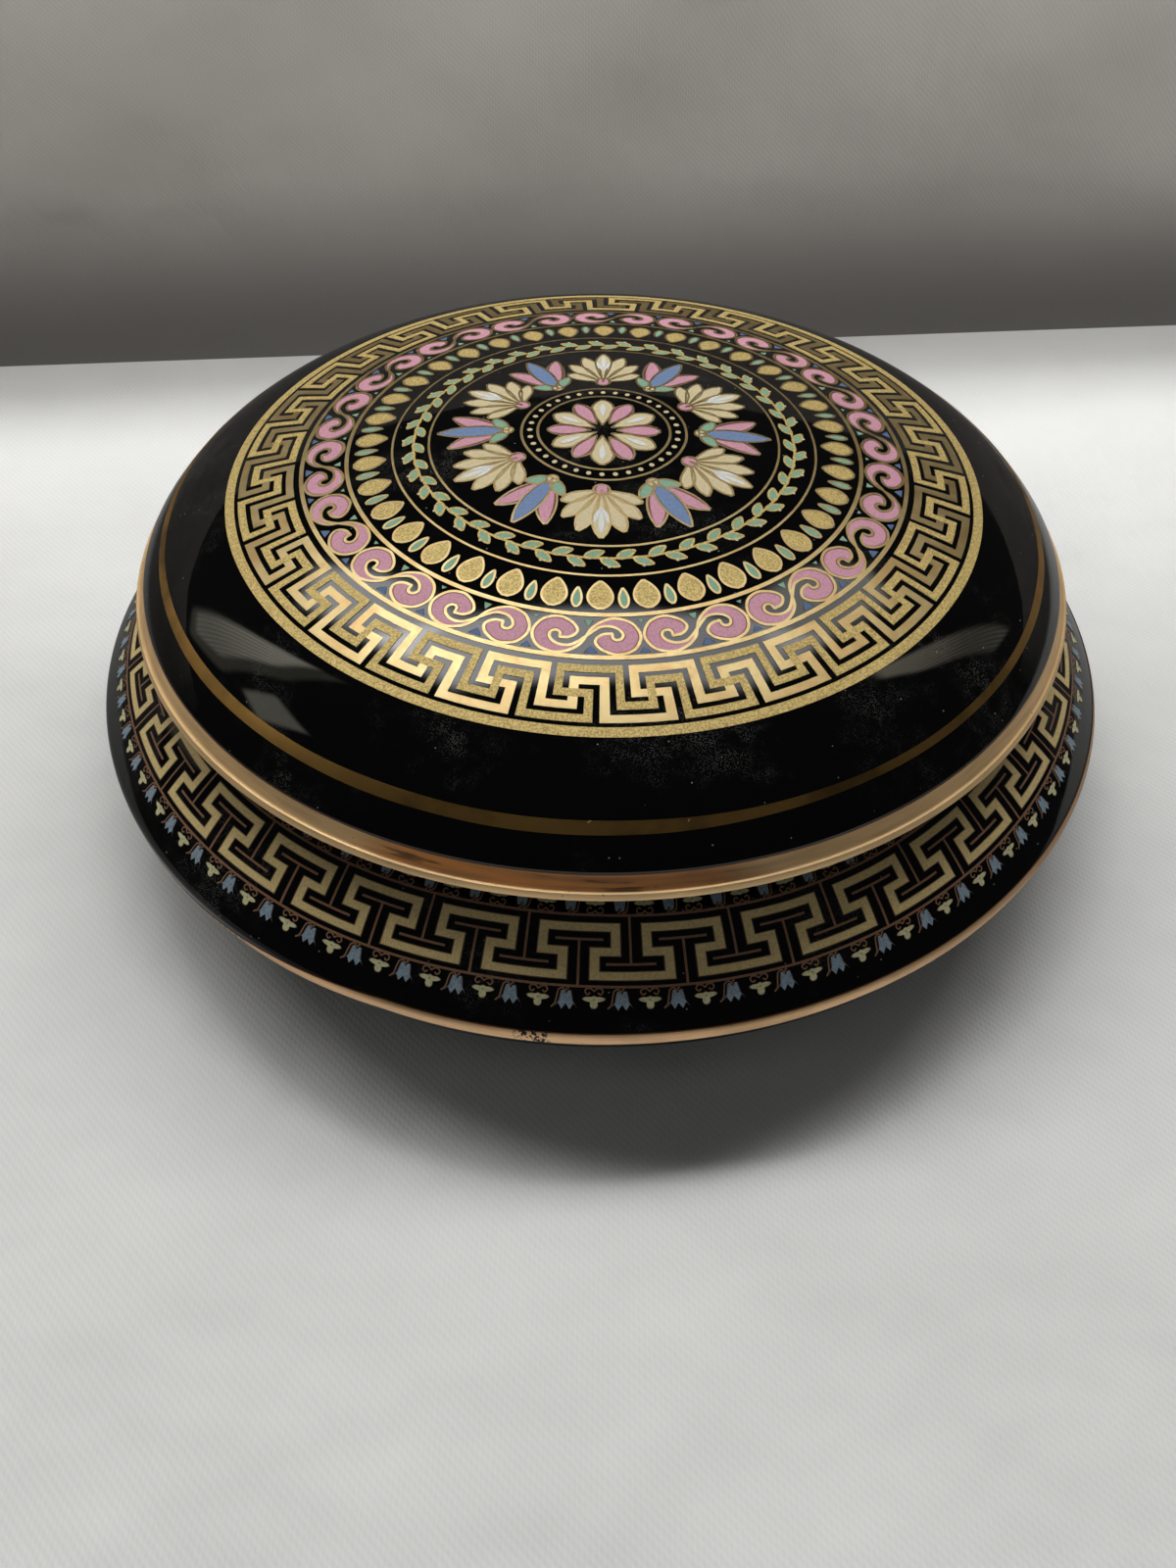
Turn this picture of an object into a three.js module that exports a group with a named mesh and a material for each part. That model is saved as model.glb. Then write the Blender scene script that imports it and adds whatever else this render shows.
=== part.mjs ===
import * as THREE from 'three';

// A low round trinket box in glazed ceramic: a bowl with a rolled edge, and a domed lid that
// lifts off. Both are turned. The printed borders and the painted gold are thin layers that
// lie on the glaze. Millimetres, +Z up, origin on the table under the middle of the foot.

// Sizes of the bowl. A turn is an angle in degrees above or below straight out.
const edgeRadius = 70.1; // the widest point
const edgeRound = 2.3;
const shoulderRound = 36.9; // the curve from the edge up to the neck
const shoulderTurn = 39.4; // where the edge's round hands over to the shoulder
const bellyRound = 61; // the curve from the edge down to the foot
const bellyTurn = 50; // where the edge's round hands over to the belly
const bellyLift = 1; // lowest point of the belly's curve above the table
const bowlWall = 4.5;
const innerRound = 3; // inside the edge, where the belly meets the shoulder

const footRadius = 41;
const footWidth = 4;
const footRound = 0.8;
const footRecess = 1.6; // depth of the hollow inside the foot ring

const neckRadius = 55.5;
const neckWall = 3.9;
const neckRise = 3.45; // top of the neck above the shoulder
const neckFillet = 0.8;
const rimRound = 0.6;

// Sizes of the lid
const wallOverhang = 5.45; // from the neck out to the lid's upright wall
const wallHeight = 3.13;
const wallRound = 0.4;
const wallTurn = 35.7; // where the wall's round hands over to the lid's shoulder
const lidShoulderRound = 22.43;
const domeRound = 181.15;
const lidWall = 4.5;

const lipRound = 0.6; // the bead round the lid's lower edge
const lipProud = 1.4; // how far the bead stands out from the wall
const lipFillet = 1.9;

const plateThickness = 3.6; // the ledge that sits on the neck
const flangeClearance = 0.8; // between the flange and the mouth
const flangeWall = 3;
const flangeDepth = 4;

// Sizes of the layers on the glaze
const layer = 0.12;
const medallionRadius = 33.1;
const scrollBorderWidth = 6;
const keyBorderWidth = 10;
const shoulderLineInset = 2.65; // in from the lid's upright wall
const shoulderLineWidth = 1;
const lipGildingTurn = 20; // below straight out, on the bead
const bowlBorderInset = 1.5; // from the neck out to the bowl's printed border
const bowlBorderMargin = 3.7; // from the edge line up to the border
const edgeLineAbove = 38;
const edgeLineBelow = 18;

// How finely the curves are drawn
const sides = 60;
const chordError = 0.1;

// A direction is an angle from straight up through straight out and down to straight in
const straightUp = 0;
const straightOut = 0.5 * Math.PI;
const straightDown = Math.PI;
const straightIn = 1.5 * Math.PI;
const fullTurn = 2 * Math.PI;
const radians = THREE.MathUtils.degToRad;

// The unit vector of a direction, as (radius, height)
function pointing(direction) {
  return new THREE.Vector2(Math.sin(direction), Math.cos(direction));
}

// An arc of a profile between two directions from its centre
function arc(centre, radius, from, to) {
  return { centre, radius, from, to };
}

// The point of an arc in one direction, and the way that the surface faces there
function onArc({ centre, radius }, direction) {
  const facing = pointing(direction);
  return { at: facing.clone().multiplyScalar(radius).add(centre), facing, direction };
}

// Points along one arc, both ends included, with no chord further than chordError from it
function trace(bend, from = bend.from, to = bend.to) {
  const widestStep = 2 * Math.acos(1 - chordError / Math.max(bend.radius, 2 * chordError));
  const steps = Math.max(2, Math.ceil(Math.abs(to - from) / widestStep));
  const points = [];
  for (let step = 0; step <= steps; step += 1) {
    points.push(onArc(bend, from + ((to - from) * step) / steps));
  }
  return points;
}

// Points along arcs that meet smoothly, with a point at each marked direction
function traceChain(arcs, marks) {
  const points = [];
  for (const bend of arcs) {
    const inside = marks.filter((mark) => mark > bend.from && mark < bend.to);
    const stops = [bend.from, ...inside.sort((a, b) => a - b), bend.to];
    for (let i = 1; i < stops.length; i += 1) {
      const stretch = trace(bend, stops[i - 1], stops[i]);
      points.push(...(points.length > 0 ? stretch.slice(1) : stretch));
    }
  }
  return points;
}

// The direction at which a chain of arcs reaches a radius
function directionAt(arcs, radius) {
  const reaches = (bend) => onArc(bend, bend.to).at.x >= radius;
  const bend = arcs.find(reaches) ?? arcs[arcs.length - 1];
  return Math.asin(THREE.MathUtils.clamp((radius - bend.centre.x) / bend.radius, -1, 1));
}

// The outer crossing of two circles, as (radius, height)
function crossing(centreA, radiusA, centreB, radiusB) {
  const apart = centreB.clone().sub(centreA);
  const distance = apart.length();
  const along = (distance ** 2 + radiusA ** 2 - radiusB ** 2) / (2 * distance);
  const aside = Math.sqrt(radiusA ** 2 - along ** 2);
  const unit = apart.divideScalar(distance);
  const square = new THREE.Vector2(unit.y, -unit.x);
  const outer = square.x > 0 ? square : square.negate();
  return centreA.clone().addScaledVector(unit, along).addScaledVector(outer, aside);
}

// The direction from one point to another
function directionTo(from, to) {
  return Math.atan2(to.x - from.x, to.y - from.y);
}

// A quarter round on a corner, from the signs of the ways out of the material there
function cornerRound(cornerRadius, cornerHeight, outward, up, radius, from, to) {
  const centre = new THREE.Vector2(cornerRadius - outward * radius, cornerHeight - up * radius);
  return trace(arc(centre, radius, from, to));
}

const places = (points) => points.map((point) => point.at);

// A solid turned from a profile that runs anticlockwise, with radius to the right
function turned(name, profile, colour, roughness, metalness) {
  const geometry = new THREE.LatheGeometry(profile, sides);
  geometry.rotateX(Math.PI / 2);
  const material = new THREE.MeshStandardMaterial({ color: colour, roughness, metalness });
  const mesh = new THREE.Mesh(geometry, material);
  mesh.name = name;
  return mesh;
}

// A layer that lies on a run of surface points, given from the middle outward and down
function layerOn(name, points, colour, roughness, metalness) {
  const raised = points.map(({ at, facing }) => at.clone().addScaledVector(facing, layer));
  const profile = [...places(points), ...raised.reverse()];
  const touchesAxis = points[0].at.x === 0;
  if (!touchesAxis) {
    profile.push(profile[0].clone());
  }
  return turned(name, profile, colour, roughness, metalness);
}

const between = (points, from, to) => {
  const isInside = ({ direction }) => direction >= from && direction <= to;
  return points.filter(isInside);
};

// The bowl's outer curves: the belly's centre is found from the table and the edge, and the
// shoulder's from the edge
const bellyDirection = straightOut + radians(bellyTurn);
const shoulderDirection = straightOut - radians(shoulderTurn);
const bellyHeight = bellyLift + bellyRound;
const edgeInset = edgeRadius - edgeRound;
const bellyToEdge = pointing(bellyDirection).multiplyScalar(bellyRound - edgeRound);
const bellyCentre = new THREE.Vector2(edgeInset - bellyToEdge.x, bellyHeight);
const edgeCentre = new THREE.Vector2(edgeInset, bellyHeight + bellyToEdge.y);
const edgeToShoulder = pointing(shoulderDirection).multiplyScalar(edgeRound - shoulderRound);
const shoulderCentre = edgeCentre.clone().add(edgeToShoulder);

// The neck stands on the shoulder with a small fillet, and its top is the lid's seat
const shoulderAtNeck = Math.sqrt(shoulderRound ** 2 - (neckRadius - shoulderCentre.x) ** 2);
const seat = shoulderCentre.y + shoulderAtNeck + neckRise;
const mouthRadius = neckRadius - neckWall;
const filletAcross = neckRadius + neckFillet - shoulderCentre.x;
const filletRise = Math.sqrt((shoulderRound + neckFillet) ** 2 - filletAcross ** 2);
const filletCentre = shoulderCentre.clone().add(new THREE.Vector2(filletAcross, filletRise));
const neckDirection = directionTo(shoulderCentre, filletCentre);

const footDirection = straightDown - Math.asin((footRadius - bellyCentre.x) / bellyRound);
const bowlCurves = [
  arc(shoulderCentre, shoulderRound, neckDirection, shoulderDirection),
  arc(edgeCentre, edgeRound, shoulderDirection, bellyDirection),
  arc(bellyCentre, bellyRound, bellyDirection, footDirection),
];
const edgeLineFrom = straightOut - radians(edgeLineAbove);
const edgeLineTo = straightOut + radians(edgeLineBelow);
const bowlBorderFrom = directionAt(bowlCurves, neckRadius + bowlBorderInset);
const bowlBorderTo = edgeLineFrom - bowlBorderMargin / shoulderRound;
const bowlSurface = traceChain(bowlCurves, [
  bowlBorderFrom,
  bowlBorderTo,
  edgeLineFrom,
  straightOut,
  edgeLineTo,
]);

// The bowl's inside keeps the wall from the outer curves, with a round where they cross
function bowlInside() {
  const insideShoulder = shoulderRound - bowlWall;
  const insideBelly = bellyRound - bowlWall;
  const roundCentre = crossing(
    bellyCentre,
    insideBelly - innerRound,
    shoulderCentre,
    insideShoulder - innerRound,
  );
  const fromShoulder = directionTo(shoulderCentre, roundCentre);
  const fromBelly = directionTo(bellyCentre, roundCentre);
  const mouth = Math.asin((mouthRadius - shoulderCentre.x) / insideShoulder);
  const floor = new THREE.Vector2(0, bellyLift + bowlWall);
  return [
    ...places(trace(arc(shoulderCentre, insideShoulder, mouth, fromShoulder))),
    ...places(trace(arc(roundCentre, innerRound, fromShoulder, fromBelly))).slice(1),
    ...places(trace(arc(bellyCentre, insideBelly, fromBelly, straightDown))).slice(1),
    floor,
  ];
}

// The underside and the foot ring that the box stands on
function bowlUnderside() {
  const inner = footRadius - footWidth;
  return [
    new THREE.Vector2(0, footRecess),
    new THREE.Vector2(inner, footRecess),
    ...places(cornerRound(inner, 0, -1, -1, footRound, straightIn, straightDown)),
    ...places(cornerRound(footRadius, 0, 1, -1, footRound, straightDown, straightOut)),
  ];
}

function bowlNeck() {
  const base = trace(arc(filletCentre, neckFillet, neckDirection + straightDown, straightIn));
  return [
    ...places(base),
    ...places(cornerRound(neckRadius, seat, 1, 1, rimRound, straightOut, straightUp)),
    ...places(cornerRound(mouthRadius, seat, -1, 1, rimRound, fullTurn, straightIn)),
  ];
}

function makeBowl() {
  const outside = places(bowlSurface).reverse();
  const profile = [
    ...bowlUnderside(),
    ...outside.slice(0, -1),
    ...bowlNeck(),
    ...bowlInside(),
  ];
  return turned('bowl', profile, 0x0a0a0b, 0.06, 0);
}

// The lid's outer curves: the wall, its round, the shoulder and the dome on the axis
const wallRadius = neckRadius + wallOverhang;
const wallTop = seat + wallHeight;
const wallDirection = straightOut - radians(wallTurn);
const wallRoundCentre = new THREE.Vector2(wallRadius - wallRound, wallTop);
const wallToShoulder = pointing(wallDirection).multiplyScalar(wallRound - lidShoulderRound);
const lidShoulderCentre = wallRoundCentre.clone().add(wallToShoulder);
const domeRun = domeRound - lidShoulderRound;
const domeDrop = Math.sqrt(domeRun ** 2 - lidShoulderCentre.x ** 2);
const domeCentre = new THREE.Vector2(0, lidShoulderCentre.y - domeDrop);
const domeDirection = directionTo(domeCentre, lidShoulderCentre);
const lidCurves = [
  arc(domeCentre, domeRound, straightUp, domeDirection),
  arc(lidShoulderCentre, lidShoulderRound, domeDirection, wallDirection),
  arc(wallRoundCentre, wallRound, wallDirection, straightOut),
];
const medallionEdge = directionAt(lidCurves, medallionRadius);
const scrollBorderRadius = medallionRadius + scrollBorderWidth;
const scrollBorderEdge = directionAt(lidCurves, scrollBorderRadius);
const keyBorderEdge = directionAt(lidCurves, scrollBorderRadius + keyBorderWidth);
const shoulderLineRadius = wallRadius - shoulderLineInset;
const shoulderLineFrom = directionAt(lidCurves, shoulderLineRadius - shoulderLineWidth);
const shoulderLineTo = directionAt(lidCurves, shoulderLineRadius);
const lidSurface = traceChain(lidCurves, [
  medallionEdge,
  scrollBorderEdge,
  keyBorderEdge,
  shoulderLineFrom,
  shoulderLineTo,
]);

// The lip: a fillet from the wall, then the bead, whose lowest point is level with the seat.
// The fillet is no larger than the wall above the bead has room for.
const shareOfRoom = 0.95;
const beadCentre = new THREE.Vector2(wallRadius + lipProud - lipRound, seat + lipRound);
const beadPastWall = beadCentre.x - wallRadius;
const roomUpWall = (wallTop - beadCentre.y) ** 2 / (lipRound + beadPastWall);
const largestFillet = (roomUpWall - (lipRound - beadPastWall)) / 2;
const lipFilletRound = Math.min(lipFillet, shareOfRoom * largestFillet);
const lipFilletAcross = lipFilletRound - beadPastWall;
const lipFilletRise = Math.sqrt((lipRound + lipFilletRound) ** 2 - lipFilletAcross ** 2);
const lipFilletCentre = beadCentre.clone().add(new THREE.Vector2(lipFilletAcross, lipFilletRise));
const beadTop = directionTo(beadCentre, lipFilletCentre);
const gildingEnd = straightOut + radians(lipGildingTurn);

// The fillet's surface faces its own centre, so its points look the other way
function hollowTrace(bend) {
  const turnedRound = ({ at, facing, direction }) => ({ at, facing: facing.negate(), direction });
  return trace(bend).map(turnedRound);
}

const lipHollow = hollowTrace(
  arc(lipFilletCentre, lipFilletRound, straightIn, beadTop + straightDown),
);
const beadArc = arc(beadCentre, lipRound, beadTop, straightDown);
const bead = traceChain([beadArc], [straightOut, gildingEnd]);

// The lid's inside: dome and shoulder keep the wall, down to the ledge and its flange
function lidInside() {
  const inner = mouthRadius - flangeClearance - flangeWall;
  const outer = mouthRadius - flangeClearance;
  const plateTop = seat + plateThickness;
  const insideShoulder = lidShoulderRound - lidWall;
  const atPlate = Math.acos((plateTop - lidShoulderCentre.y) / insideShoulder);
  const bottom = seat - flangeDepth;
  return [
    ...places(trace(arc(domeCentre, domeRound - lidWall, straightUp, domeDirection))),
    ...places(trace(arc(lidShoulderCentre, insideShoulder, domeDirection, atPlate))).slice(1),
    new THREE.Vector2(inner, plateTop),
    ...places(cornerRound(inner, bottom, -1, -1, rimRound, straightIn, straightDown)),
    ...places(cornerRound(outer, bottom, 1, -1, rimRound, straightDown, straightOut)),
    new THREE.Vector2(outer, seat),
  ];
}

function makeLid() {
  const lip = [...places(lipHollow), ...places(bead).slice(1)].reverse();
  const outside = places(lidSurface).reverse();
  return turned('lid', [...lidInside(), ...lip, ...outside], 0x0a0a0b, 0.06, 0);
}

const onLid = (name, from, to, ...look) => layerOn(name, between(lidSurface, from, to), ...look);
const onBowl = (name, from, to, ...look) => layerOn(name, between(bowlSurface, from, to), ...look);

function makeLipGilding() {
  const onBead = between(bead, beadTop, gildingEnd).slice(1);
  return layerOn('lid_lip_gilding', [...lipHollow, ...onBead], 0xc8a070, 0.12, 1);
}

// The box: the lid and its layers lift off together
const bowlGroup = new THREE.Group();
bowlGroup.add(
  makeBowl(),
  onBowl('bowl_key_border', bowlBorderFrom, bowlBorderTo, 0x9a8f64, 0.35, 0.2),
  onBowl('bowl_edge_line', edgeLineFrom, edgeLineTo, 0xc8a070, 0.12, 1),
);

const lidGroup = new THREE.Group();
lidGroup.add(
  makeLid(),
  onLid('lid_medallion', straightUp, medallionEdge, 0x6f6258, 0.35, 0.2),
  onLid('lid_scroll_border', medallionEdge, scrollBorderEdge, 0xb08796, 0.35, 0.1),
  onLid('lid_key_border', scrollBorderEdge, keyBorderEdge, 0xbe9b55, 0.3, 0.8),
  onLid('lid_shoulder_line', shoulderLineFrom, shoulderLineTo, 0xb48a50, 0.15, 1),
  makeLipGilding(),
);

const trinketBox = new THREE.Group();
trinketBox.add(bowlGroup, lidGroup);

export default trinketBox;
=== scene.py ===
import math
import operator
from functools import reduce

import bpy
import numpy as np
from mathutils import Matrix, Vector


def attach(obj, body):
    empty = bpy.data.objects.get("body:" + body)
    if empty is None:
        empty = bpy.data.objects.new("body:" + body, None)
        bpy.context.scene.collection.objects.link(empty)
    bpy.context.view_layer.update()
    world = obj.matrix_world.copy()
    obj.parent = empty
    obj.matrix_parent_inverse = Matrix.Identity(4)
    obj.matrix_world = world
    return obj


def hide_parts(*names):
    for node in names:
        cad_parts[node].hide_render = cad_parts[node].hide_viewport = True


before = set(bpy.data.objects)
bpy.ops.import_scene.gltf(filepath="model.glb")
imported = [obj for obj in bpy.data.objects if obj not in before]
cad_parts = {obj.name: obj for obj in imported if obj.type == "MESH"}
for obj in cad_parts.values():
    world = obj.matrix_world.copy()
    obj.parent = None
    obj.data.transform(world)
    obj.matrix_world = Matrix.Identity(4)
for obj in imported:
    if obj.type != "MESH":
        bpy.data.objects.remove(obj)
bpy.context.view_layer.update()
print("frame loaded:", ", ".join(sorted(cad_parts)))

mm = 0.001
deg = math.pi / 180
fullTurn = 2 * math.pi


# The camera stands where the photograph was taken from
view = {
    "place": (0, -153.91, 147.81),
    "right": (0.99988753, 0.01450486, 0.00381322),
    "up": (-0.01316108, 0.72668945, 0.68684003),
    "forward": (-0.00719149, 0.68681297, -0.72679861),
    "lens": 31.5,
    "sensor": 36,
}


def makeCamera():
    data = bpy.data.cameras.new("camera")
    data.lens = view["lens"]
    data.sensor_width = view["sensor"]
    data.clip_start = 0.01
    camera = bpy.data.objects.new("camera", data)
    bpy.context.scene.collection.objects.link(camera)
    backward = -Vector(view["forward"])
    axes = Matrix((view["right"], view["up"], backward)).transposed().to_4x4()
    camera.matrix_world = Matrix.Translation(Vector(view["place"]) * mm) @ axes
    bpy.context.scene.camera = camera


# A socket of a node tree, so that shader maths can be written as sums
class Wire:
    def __init__(self, nodes, socket):
        self.nodes = nodes
        self.socket = socket

    def join(self, operation, first, second):
        return self.nodes.node("ShaderNodeMath", {"operation": operation}, {0: first, 1: second})

    def __add__(self, other):
        return self.join("ADD", self, other)

    def __radd__(self, other):
        return self.join("ADD", other, self)

    def __sub__(self, other):
        return self.join("SUBTRACT", self, other)

    def __rsub__(self, other):
        return self.join("SUBTRACT", other, self)

    def __mul__(self, other):
        return self.join("MULTIPLY", self, other)

    def __rmul__(self, other):
        return self.join("MULTIPLY", other, self)

    def __truediv__(self, other):
        return self.join("DIVIDE", self, other)

    def __gt__(self, other):
        return self.join("GREATER_THAN", self, other)

    def __lt__(self, other):
        return self.join("LESS_THAN", self, other)


def withAlpha(colour):
    return colour if isinstance(colour, Wire) else (*colour, 1)


# A node tree under construction. node() adds any node: its settings first, then the values
# or wires of its sockets.
class Nodes:
    def __init__(self, tree, placeNode, placeSocket):
        self.tree = tree
        place = tree.nodes.new(placeNode)
        self.place = Wire(self, place.outputs[placeSocket])

    def node(self, kind, settings, sockets, output=0):
        made = self.tree.nodes.new(kind)
        for name, value in settings.items():
            setattr(made, name, value)
        for name, value in sockets.items():
            if isinstance(value, Wire):
                self.tree.links.new(value.socket, made.inputs[name])
            else:
                made.inputs[name].default_value = value
        return Wire(self, made.outputs[output])

    # a smooth step from 0 to 1 between two levels of a value
    def step(self, value, low, high):
        settings = {"interpolation_type": "SMOOTHSTEP"}
        return self.node("ShaderNodeMapRange", settings, {0: value, 1: low, 2: high, 3: 0, 4: 1})

    # a value without its sign
    def absolute(self, value):
        return self.node("ShaderNodeMath", {"operation": "ABSOLUTE"}, {0: value})

    # how far a place lies along a direction
    def along(self, place, direction):
        settings = {"operation": "DOT_PRODUCT"}
        sockets = {0: place, 1: tuple(float(v) for v in direction)}
        return self.node("ShaderNodeVectorMath", settings, sockets, output=1)

    def blend(self, share, first, second):
        settings = {"data_type": "RGBA"}
        colours = {0: share, 6: withAlpha(first), 7: withAlpha(second)}
        return self.node("ShaderNodeMix", settings, colours, output=2)


# The light. Each pane is a soft lamp far from the box. Its corners are directions from the
# box: degrees from the back towards the right, and above the table. Its glow is its
# brightness, where 1 is white; fade is a direction, two distances along it in millimetres
# and what is left of the glow at the first of them; slats are the direction across them, how
# far apart they are in millimetres and how deep they shade. Some panes don't show in the
# glaze, and one shows only on the lid. The soft edge is in degrees.
light = {
    "room": (0.024, 0.024, 0.023),
    "aim": (0, 0, 40),
    "softEdge": 2.2,
    "panes": {
        "strip": {
            "corners": [(-47, 52), (-47, 67), (46, 67), (46, 52)], "glow": 6.2,
            "fade": ((-1, 0, 0), -300, 330, 0.42), "slats": ("up", 5, 0.3),
        },
        "stripLeftEnd": {
            "corners": [(-48, 61), (-27, 59), (-34, 47), (-40, 40), (-48, 43)], "glow": 4.6,
            "slats": ("up", 5, 0.3),
        },
        "stripRightEnd": {
            "corners": [(47, 60), (26, 60), (31, 47), (38, 41), (46, 43)], "glow": 2.2,
            "colour": (1, 0.97, 0.9), "slats": ("up", 5, 0.3),
        },
        "leftWing": {
            "corners": [(-60, 54), (-75, 42), (-78, 24), (-71, 15), (-65, 18)], "glow": 1.9,
            "colour": (1, 0.96, 0.8), "fade": ((0, 0, 1), 220, 490, 0.3),
            "slats": ("right", 13, 0.35),
        },
        "leftFrame": {
            "corners": [(-60, 58), (-80, 44), (-82, 22), (-71, 12), (-64, 16)], "glow": 0.3,
            "colour": (1, 0.97, 0.75),
        },
        "rightWing": {
            "corners": [(53, 54), (66, 52), (73, 43), (74, 20), (67, 14)], "glow": 1.5,
            "colour": (1, 0.92, 0.7), "fade": ((0, 0, 1), 320, 545, 0.25),
            "slats": ("right", 13, 0.4),
        },
        "leftSpot": {
            "corners": [(-104, 38), (-86, 38), (-85, 26), (-96, 24)], "glow": 1.1,
            "colour": (1, 0.95, 0.78), "onLidOnly": True,
        },
        "fill": {
            "corners": [(-79, 46), (61, 46), (51, 41), (-69, 41)], "glow": 10.6,
            "distance": 2000, "inGloss": False,
        },
        "front": {
            "corners": [(112, 45), (136, 20), (-136, 20), (-112, 45)], "glow": 0.19,
            "inGloss": False,
        },
    },
    "backdropLight": {"place": (0, 35, 185), "size": (1100, 60), "glow": 4.5, "tilt": 0.15},
    "sky": (0.62, 0.60, 0.57),
}
lidPieces = bpy.data.collections.new("lidPieces")


def towards(azimuth, elevation):
    level = math.cos(elevation * deg)
    x = level * math.sin(azimuth * deg)
    return np.array([x, level * math.cos(azimuth * deg), math.sin(elevation * deg)])


def makeLamp(name, place, axes, size, glow, inGloss):
    data = bpy.data.lights.new(name, "AREA")
    data.shape = "RECTANGLE"
    data.size = size[0] * mm
    data.size_y = size[1] * mm
    data.energy = glow * math.pi * data.size * data.size_y
    lamp = bpy.data.objects.new(name, data)
    bpy.context.scene.collection.objects.link(lamp)
    turn = Matrix([Vector(axis) for axis in axes]).transposed().to_4x4()
    lamp.matrix_world = Matrix.Translation(Vector(place) * mm) @ turn
    lamp.visible_glossy = inGloss
    return lamp


# A pane glows between the planes through the aim and two neighbouring corners
def hangPane(
    name, corners, glow, colour=(1, 1, 1), distance=640, fade=None, slats=None, inGloss=True,
    onLidOnly=False,
):
    seen = np.array([towards(*corner) for corner in corners])
    middle = seen.mean(axis=0)
    middle /= np.linalg.norm(middle)
    right = np.cross(middle, (0, 0, 1))
    right /= np.linalg.norm(right)
    up = np.cross(right, middle)
    onPane = seen / (seen @ middle)[:, None] * distance
    spans = np.stack([onPane @ right, onPane @ up])
    low, high = spans.min(axis=1), spans.max(axis=1)
    centre = (low + high) / 2
    place = light["aim"] + middle * distance + right * centre[0] + up * centre[1]
    lamp = makeLamp(name, place, (-right, up, middle), high - low, glow, inGloss)
    lamp.data.color = colour
    lamp.data.use_nodes = True
    f = Nodes(lamp.data.node_tree, "ShaderNodeNewGeometry", "Position")
    aim = tuple(v * mm for v in light["aim"])
    fromAim = f.node("ShaderNodeVectorMath", {"operation": "SUBTRACT"}, {0: f.place, 1: aim})
    softEdge = light["softEdge"] * deg * distance * mm
    sides = np.cross(seen, np.roll(seen, -1, axis=0))
    sides *= np.sign(sides @ middle)[:, None] / np.linalg.norm(sides, axis=1, keepdims=True)
    strength = reduce(operator.mul, [f.step(f.along(fromAim, side), 0, softEdge) for side in sides])
    if fade:
        direction, start, end, least = fade
        share = f.step(f.along(fromAim, direction), start * mm, end * mm)
        strength = strength * (share * (1 - least) + least)
    if slats:
        way, apart, depth = slats
        phase = f.along(fromAim, right if way == "right" else up) * (fullTurn / (apart * mm))
        wave = f.node("ShaderNodeMath", {"operation": "SINE"}, {0: phase})
        strength = strength * (wave * depth + 1)
    f.tree.links.new(strength.socket, f.tree.nodes["Emission"].inputs["Strength"])
    if onLidOnly:
        lamp.light_linking.receiver_collection = lidPieces


def makeLight():
    for name, pane in light["panes"].items():
        hangPane(name, **pane)
    behind = light["backdropLight"]
    tilt = math.atan(behind["tilt"])
    axes = [(-1, 0, 0), (0, math.sin(tilt), math.cos(tilt)), (0, -math.cos(tilt), math.sin(tilt))]
    makeLamp("backdropLight", behind["place"], axes, behind["size"], behind["glow"], False)
    world = bpy.data.worlds.new("room")
    world.use_nodes = True
    tree = world.node_tree
    seen = tree.nodes.new("ShaderNodeLightPath")
    choice = tree.nodes.new("ShaderNodeMix")
    choice.data_type = "RGBA"
    choice.inputs[6].default_value = (*light["room"], 1)
    choice.inputs[7].default_value = (*light["sky"], 1)
    tree.links.new(seen.outputs["Is Camera Ray"], choice.inputs[0])
    tree.links.new(choice.outputs[2], tree.nodes["Background"].inputs["Color"])
    bpy.context.scene.world = world
    bpy.context.scene.view_settings.view_transform = "Standard"


makeCamera()
makeLight()
print("camera and light placed")


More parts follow.
